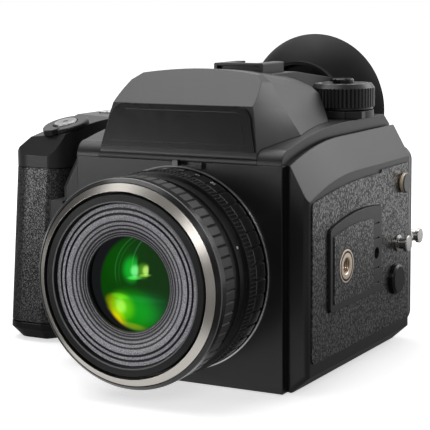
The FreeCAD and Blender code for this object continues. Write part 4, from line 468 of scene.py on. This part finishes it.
def side_socket_brass():
    """The side tripod socket: a warm turned bush, with painted shade in the gap at its step and
    inside the hole over the thread crests.
    """
    finish = turned_metal("warm_brass", (0.95, 0.80, 0.66), 0.30, axis="X",
                          centre=SOCKET_AXIS)
    # Painted shade: a dark ring in the gap at the step.
    finish.paint(finish.radius.band(4.9, 5.5, 0.15), (0.03, 0.022, 0.018))
    # Painted shade: darker inside the hole, over the crests of the thread.
    finish.paint(finish.radius.fade(3.0, 2.85), (0.20, 0.13, 0.09))
    return finish


def film_back_shell():
    """The film back: satin black, with painted shade where it meets the body and a painted
    highlight at its rear corner.
    """
    finish = satin_paint("film_back_black", 0.0095, 0.34)
    x, y, _ = finish.axes(finish.place)
    sides = abs(x).fade(50.0, 50.4)
    # Painted shade: dark along the seam with the body.
    finish.paint(y.fade(55.0, 54.4), grey(0.001))
    # Painted highlight: a light band down the sides near the seam.
    finish.paint(y.band(55.4, 56.6, 0.4) * sides, grey(0.22))
    return finish


def button_metal():
    """The shutter button: turned grey metal with a darker dish."""
    finish = turned_metal("shutter_button_grey", grey(0.40), 0.32, axis="Z",
                          centre=SHUTTER_BUTTON)
    finish.paint(finish.radius.fade(4.3, 2.6, 0.0, 0.6), grey(0.20))
    return finish


shell_paint = satin_paint("satin_black_shell", 0.0095, 0.37, 0.42)
# Painted shade: the front cover wears a darker copy of the shell's satin paint.
front_paint_shaded = satin_paint("satin_black_front_shaded", 0.0075, 0.33, 0.45)
name_plate_black = smooth_plastic("glossy_name_plate", grey(0.006), 0.24,
                                  Specular_IOR_Level=0.35)
leather = grained_leather("pebbled_leather", 0.017, 0.78, 0.48, 1.0)
grip_leather = grained_leather("grip_leather_grain", 0.022, 1.05, 0.20, 0.5)
eyecup_rubber = moulded_rubber("eyecup_rubber", 0.005, 0.55, 0.15)
lens_black = collar_black()
silver = turned_metal("warm_silver", (0.56, 0.53, 0.49), 0.32)
brass = side_socket_brass()
steel = plated_metal("plated_steel", grey(0.50, 0.03), 0.22)
gloss_black = smooth_plastic("glossy_black_plastic", grey(0.006), 0.18,
                             Specular_IOR_Level=0.35)
dark_plastic = smooth_plastic("dark_plastic", grey(0.011), 0.42)
dial_black = turned_metal("dial_black", grey(0.010), 0.33, metallic=0.0, axis="Z",
                          centre=SHUTTER_DIAL)
backing_paper = smooth_plastic("backing_paper", (0.55, 0.50, 0.40), 0.7)
cell_jacket = plated_metal("cell_jacket", (0.40, 0.41, 0.43), 0.35)
mirror_silver = plated_metal("mirror_silver", (0.85, 0.86, 0.88), 0.08)
blade_metal = plated_metal("shutter_blade_metal", grey(0.12), 0.4)
ground_glass = smooth_plastic("ground_glass", (0.45, 0.47, 0.47), 0.6)
dark_glass = smooth_plastic("dark_coated_glass", (0.010, 0.014, 0.020), 0.06)
display_glass = smooth_plastic("display_window", (0.10, 0.12, 0.10), 0.12, Coat_Weight=1.0)

wearers = (
    (shell_paint, "main_housing base_plate side_cover_left side_cover_right prism_housing "
                  "grip_top_cover release_housing power_ring"),
    (film_back_shell(), "film_back"),
    (front_paint_shaded, "front_cover"),
    (name_plate_black, "nameplate"),
    (leather, "side_leather plate_leather"),
    (grip_leather, "grip_leather"),
    (eyecup_rubber, "eyecup"),
    (ribbed_focus_rubber(), "focus_grip"),
    (lens_black, "lens_barrel"),
    (pad_ring_black(), "aperture_ring"),
    (focus_ring_black(), "focus_ring"),
    (inner_barrel_black(), "inner_barrel"),
    (silver, "silver_ring"),
    (grey_disc(), "front_disc"),
    (coated_glass(), "front_lens"),
    (mount_ring_bright(), "lens_mount_ring"),
    (steel, "strap_stud back_lock_key base_tripod_socket mount_screws"),
    (brass, "side_tripod_socket"),
    (strap_lug_metal(), "strap_lugs"),
    (gloss_black, "grip_base_cap eyepiece_frame dial_lock_button sync_socket_cap "
                  "lens_release_button"),
    (dark_plastic, "grip_shell tripod_plate hot_shoe mirror_box battery_holder film_insert "
                   "shutter_frame drive_lever drive_motor takeup_spool"),
    (dial_black, "shutter_dial exposure_dial"),
    (button_metal(), "shutter_button"),
    (backing_paper, "film_roll"),
    (cell_jacket, "battery_cells"),
    (mirror_silver, "reflex_mirror"),
    (blade_metal, "shutter_blade_low shutter_blade_middle shutter_blade_high pressure_plate"),
    (ground_glass, "focusing_screen pentaprism"),
    (dark_glass, "eyepiece_lens rear_lens"),
    (display_glass, "lcd_window"),
)
for finish, names in wearers:
    for name in names.split():
        mesh = NODES[name].data
        mesh.materials.clear()
        mesh.materials.append(finish.material)


# Small pieces that the solids leave to the visual model

white_paint = smooth_plastic("white_marking_paint", grey(0.62), 0.5, edge_mm=0.0)
display_ink = smooth_plastic("display_ink", grey(0.006), 0.3, edge_mm=0.0)


def finish_piece(name, grid, finish, body):
    """A piece from a mesh in millimetres, with its finish, riding on a body."""
    mesh = bpy.data.meshes.new(name)
    bmesh.ops.scale(grid, vec=(MM,) * 3, verts=grid.verts)
    bmesh.ops.recalc_face_normals(grid, faces=grid.faces)
    grid.to_mesh(mesh)
    grid.free()
    mesh.materials.append(finish.material)
    piece = bpy.data.objects.new(name, mesh)
    bpy.context.scene.collection.objects.link(piece)
    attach(piece, body)
    return piece


def turns(count):
    """Angles at even steps round a full turn."""
    return [2 * math.pi * k / count for k in range(count)]


def join_rings(grid, first, second):
    """The faces between two rings of as many vertices."""
    for k in range(len(first)):
        after = (k + 1) % len(first)
        grid.faces.new((first[k], first[after], second[after], second[k]))


def add_block(grid, low_corners, high_corners):
    """A closed block between two rings of as many corners."""
    low = [grid.verts.new(corner) for corner in low_corners]
    high = [grid.verts.new(corner) for corner in high_corners]
    grid.faces.new(low[::-1])
    grid.faces.new(high)
    join_rings(grid, low, high)


def add_disc(grid, centre, radius, height, sides=24, taper=0.92):
    """An upright round head of a given height over a centre, its top narrower by a taper."""
    foot, top = Vector(centre), Vector(centre) + Vector((0, 0, height))
    spokes = [Vector((math.cos(turn), math.sin(turn), 0)) * radius for turn in turns(sides)]
    add_block(grid, [foot + spoke for spoke in spokes], [top + spoke * taper for spoke in spokes])


def rectangle(x0, x1, y0, y1, z):
    """The corners of a level rectangle."""
    return [(x0, y0, z), (x1, y0, z), (x1, y1, z), (x0, y1, z)]


def on_lens(angle, radius, y):
    """A point at an angle round the lens axis, a radius and a place along it."""
    return Vector((radius * math.cos(angle), y, LENS_Z + radius * math.sin(angle)))


def turn_onto(right, up, out):
    """The turn that lays a piece's own x, y and z along three directions."""
    return Matrix((right, up, out)).transposed().to_4x4()


def collar_ribs():
    """Fine knurling round the collar behind the focus ring, in two rows."""
    grid = bmesh.new()
    collar_radius = 37.0

    def end(angle, radius, half_width, y0, y1):
        """The corners of a rib's foot or crest."""
        swing = half_width / collar_radius
        return [on_lens(angle + side * swing, radius, y)
                for side, y in ((-1, y0), (1, y0), (1, y1), (-1, y1))]

    for y0, y1 in ((-58.35, -56.15), (-55.85, -53.65)):
        for angle in turns(150):
            add_block(grid, end(angle, collar_radius - 0.1, 0.31, y0, y1),
                      end(angle, collar_radius + 0.3, 0.15, y0 + 0.15, y1 - 0.15))
    finish_piece("collar_knurling", grid, lens_black, "lens")


def socket_thread():
    """Thread crests inside the tripod socket of the side, as a stack of rings."""
    grid = bmesh.new()
    axis_y, axis_z = SOCKET_AXIS
    mouth, step = 53.6, 0.4
    rings = []
    for k in range(13):
        radius = (3.15, 2.7)[k % 2]
        rings.append([grid.verts.new((mouth - step * k, axis_y + radius * math.cos(turn),
                                      axis_z + radius * math.sin(turn)))
                      for turn in turns(40)])
    for outer, inner in zip(rings, rings[1:]):
        join_rings(grid, outer, inner)
    finish_piece("side_socket_thread", grid, brass, "camera_body")


def shoe_contacts():
    """The round contacts in the floor of the hot shoe."""
    grid = bmesh.new()
    for x, y, radius in ((0, 12.8, 1.3), (-3.6, 8.6, 0.8), (3.6, 8.6, 0.8),
                         (-3.6, 17.0, 0.8), (3.6, 17.0, 0.8)):
        add_disc(grid, (x, y, SHOE_FLOOR_Z), radius, 0.15)
    finish_piece("shoe_contacts", grid, steel, "camera_body")


def base_screws():
    """Six screws that hold the base plate, and on each head a dark cross of two bars, painted
    shade that stands for its slot.
    """
    heads, slot_shades = bmesh.new(), bmesh.new()
    cross_root_z, cross_face_z = -0.1, -0.22
    for x in (-36.0, 36.0):
        for y in (-36.0, 5.0, 46.0):
            add_disc(heads, (x, y, 0.02), 2.0, height=-0.22)
            # Painted shade: two dark bars stand for the shaded cross slot in the head.
            for wide, deep in ((1.2, 0.2), (0.2, 1.2)):
                bar = x - wide, x + wide, y - deep, y + deep
                add_block(slot_shades, rectangle(*bar, cross_root_z), rectangle(*bar, cross_face_z))
    finish_piece("base_screws", heads, steel, "camera_body")
    finish_piece("base_screw_crosses", slot_shades, dark_plastic, "camera_body")


def index_post():
    """The small post above the lens mount, the fixed mark for the aperture ring's numbers."""
    grid = bmesh.new()
    add_block(grid, rectangle(0.2, 3.0, -48.6, -46.2, LENS_Z + 38.1),
              rectangle(0.5, 2.7, -48.2, -46.2, LENS_Z + 40.2))
    finish_piece("mount_index_post", grid, gloss_black, "camera_body")


def index_dot():
    """The white index dot on the band behind the focus ring."""
    grid = bmesh.new()
    add_disc(grid, (0, 0, 0), 0.55, 0.25, sides=20, taper=1.0)
    left, above = 33.2, 12.6
    angle = math.atan2(above, left)
    outward = Vector((math.cos(angle), 0, math.sin(angle)))
    turn = outward.to_track_quat("Z", "Y").to_matrix().to_4x4()
    place = Matrix.Translation(on_lens(angle, 35.38, -60.4))
    bmesh.ops.transform(grid, matrix=place @ turn, verts=grid.verts)
    finish_piece("index_dot", grid, white_paint, "lens")


def add_number(text, name, size, place, right, up, body, finish=white_paint):
    """A plain raised number on a dial or ring, lying along two directions."""
    letters = bpy.data.curves.new(name, "FONT")
    letters.body = text
    letters.size = size * MM
    letters.align_x = "CENTER"
    letters.align_y = "CENTER"
    letters.extrude = 0.06 * MM
    letters.resolution_u = 2
    letters.materials.append(finish.material)
    piece = bpy.data.objects.new(name, letters)
    right, up = Vector(right).normalized(), Vector(up).normalized()
    turn = turn_onto(right, up, right.cross(up))
    piece.matrix_world = Matrix.Translation(Vector(place) * MM) @ turn
    bpy.context.scene.collection.objects.link(piece)
    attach(piece, body)


def ring_numbers():
    """Plain stop numbers round the top of the aperture ring."""
    first_degrees, step_degrees = 62, 10.5
    for k, text in enumerate(("22", "16", "11", "8", "5.6", "4", "2.8")):
        angle = math.radians(first_degrees + step_degrees * k)
        add_number(text, "stop_number_%d" % k, 2.0, on_lens(angle, 36.99, -48.6),
                   (-math.sin(angle), 0, math.cos(angle)), (0, 1, 0), "aperture_ring")


def dial_numbers(name, centre, radius, top, texts, size, body):
    """Plain numbers round the flat top of a dial, feet towards its middle."""
    for k, (text, turn) in enumerate(zip(texts, turns(len(texts)))):
        out = Vector((math.sin(turn), math.cos(turn), 0))
        add_number(text, "%s_%d" % (name, k), size, Vector((*centre, top)) + out * radius,
                   (out.y, -out.x, 0), out, body)


def display_marks():
    """Dark figures and a row of bars on the display window."""
    for name, text, size, x, y in (("display_time", "125", 6.0, -67.5, 36.0),
                                   ("display_stop", "8.0", 6.0, -67.5, 29.6),
                                   ("display_count", "16", 3.6, -57.6, 36.4)):
        add_number(text, name, size, (x, y, DISPLAY_Z + 0.02), (-1, 0, 0), (0, -1, 0),
                   "camera_body", display_ink)
    grid = bmesh.new()
    bars, middle, row_y = 9, 4, 24.6
    for k in range(bars):
        x, length = -75.0 + 2.2 * k, 1.8 if k == middle else 1.0
        bar = x, x + 0.6, row_y, row_y + length
        add_block(grid, rectangle(*bar, DISPLAY_Z - 0.02), rectangle(*bar, DISPLAY_Z + 0.08))
    finish_piece("display_scale", grid, display_ink, "camera_body")


collar_ribs()
index_post()
index_dot()
ring_numbers()
socket_thread()
shoe_contacts()
base_screws()
display_marks()
dial_numbers("shutter_number", SHUTTER_DIAL, 9.2, SHUTTER_DIAL_Z,
             ("1", "2", "4", "8", "15", "30", "60", "125", "250", "500", "1000"), 1.9,
             "shutter_dial")
dial_numbers("exposure_number", EXPOSURE_DIAL, 7.6, EXPOSURE_DIAL_Z,
             ("0", "1", "2", "3", "3", "2", "1"), 2.2, "exposure_dial")


# Camera, lights and floor

def set_camera():
    """The view: from in front and the left, a little above, through a long lens."""
    eye = Vector((267.87, -501.14, 142.57)) * MM
    right = Vector((0.8761, 0.4820, -0.0093))
    up = Vector((-0.0648, 0.1368, 0.9885))
    back = Vector((0.4777, -0.8654, 0.1511))
    camera = bpy.data.objects.new("camera", bpy.data.cameras.new("camera"))
    camera.data.sensor_width = 36.0
    camera.data.sensor_fit = "HORIZONTAL"
    camera.data.lens = 123.36
    camera.data.clip_start = 0.01
    camera.matrix_world = Matrix.Translation(eye) @ turn_onto(right, up, back)
    bpy.context.scene.collection.objects.link(camera)
    bpy.context.scene.camera = camera


def add_softbox(name, place, aim_height, width, height, power):
    """A rectangular lamp that points at a height above the origin, in metres and watts."""
    lamp = bpy.data.lights.new(name, "AREA")
    lamp.shape = "RECTANGLE"
    lamp.size, lamp.size_y = width, height
    lamp.energy = power
    holder = bpy.data.objects.new(name, lamp)
    holder.location = place
    way = Vector((0, 0, aim_height)) - Vector(place)
    holder.rotation_euler = way.to_track_quat("-Z", "Y").to_euler()
    bpy.context.scene.collection.objects.link(holder)


def set_world():
    """A white backdrop behind the object, and a dim room in front of it."""
    world = bpy.data.worlds.new("studio")
    bpy.context.scene.world = world
    world.use_nodes = True
    net = Net(world.node_tree)
    camera, seen = net.seen_directly()
    way = net.value("ShaderNodeTexCoord", output="Generated")
    behind = net.vector("DOT_PRODUCT", way, (0.2, 0.98, 0.0), output="Value")
    x = net.axes(way)[0]
    room = (behind.fade(-0.3, 0.5, 0.12, 1.0) * x.fade(-0.97, -0.6, 0.25, 1.0)).highest(camera)
    light_that_falls = 0.15
    strength = seen * room + (1 - seen) * light_that_falls
    backdrop = net.tree.nodes["Background"]
    backdrop.inputs["Color"].default_value = (1, 1, 1, 1)
    net.tree.links.new(strength.socket, backdrop.inputs["Strength"])


def set_floor():
    """Pale paper that keeps the shadow and fades into the white backdrop, with painted light in
    what mirrors and glass see of it.
    """
    grid = bmesh.new()
    bmesh.ops.create_grid(grid, x_segments=8, y_segments=8, size=6.0)
    mesh = bpy.data.meshes.new("studio_floor")
    grid.to_mesh(mesh)
    grid.free()
    floor = bpy.data.objects.new("studio_floor", mesh)
    floor.location.z = -0.0006
    bpy.context.scene.collection.objects.link(floor)
    paper = Finish("floor_paper", grey(0.80), 0.9, Specular_IOR_Level=0.0,
                   Emission_Strength=1.0)
    camera, seen = paper.seen_directly()
    away = paper.vector("LENGTH", paper.place, output="Value")
    y = paper.axes(paper.place)[1]
    # Painted light: for mirrors and glass the floor glows in patches, under the lens, behind and
    # all round, and it is dark grey to light that bounces.
    under_lens = paper.near((0.0, -90.0, 0.0), 62.0, 40.0)
    behind = y.fade(165.0, 390.0, 0.0, 1.3)
    all_round = away.fade(240.0, 460.0, 0.12, 0.42)
    mirrored = under_lens.highest(behind).highest(all_round) * 0.8
    glow = camera * away.fade(200.0, 700.0, 0.60, 1.0) + (seen - camera) * mirrored
    paper.drive("Emission Color", paper.blend(glow, (0, 0, 0), (1, 1, 1)))
    paper.drive("Base Color", paper.blend(camera, grey(0.12), grey(0.80)))
    mesh.materials.append(paper.material)


bpy.context.scene.view_settings.view_transform = "Standard"
set_camera()
set_world()
set_floor()
for lamp in (
        ("overhead_softbox", (-0.25, 0.10, 0.95), 0.05, 1.0, 0.8, 7.2),
        ("rear_softbox", (0.55, 0.80, 0.62), 0.05, 0.6, 0.5, 2.4),
        ("upper_left_softbox", (-0.60, -0.50, 0.90), 0.05, 0.4, 0.4, 0.8),
        ("low_left_softbox", (-0.45, -0.62, 0.14), 0.06, 0.3, 0.22, 1.4),
        ("right_softbox", (0.75, -0.95, 0.75), 0.05, 0.5, 0.5, 4.0)):
    add_softbox(*lamp)
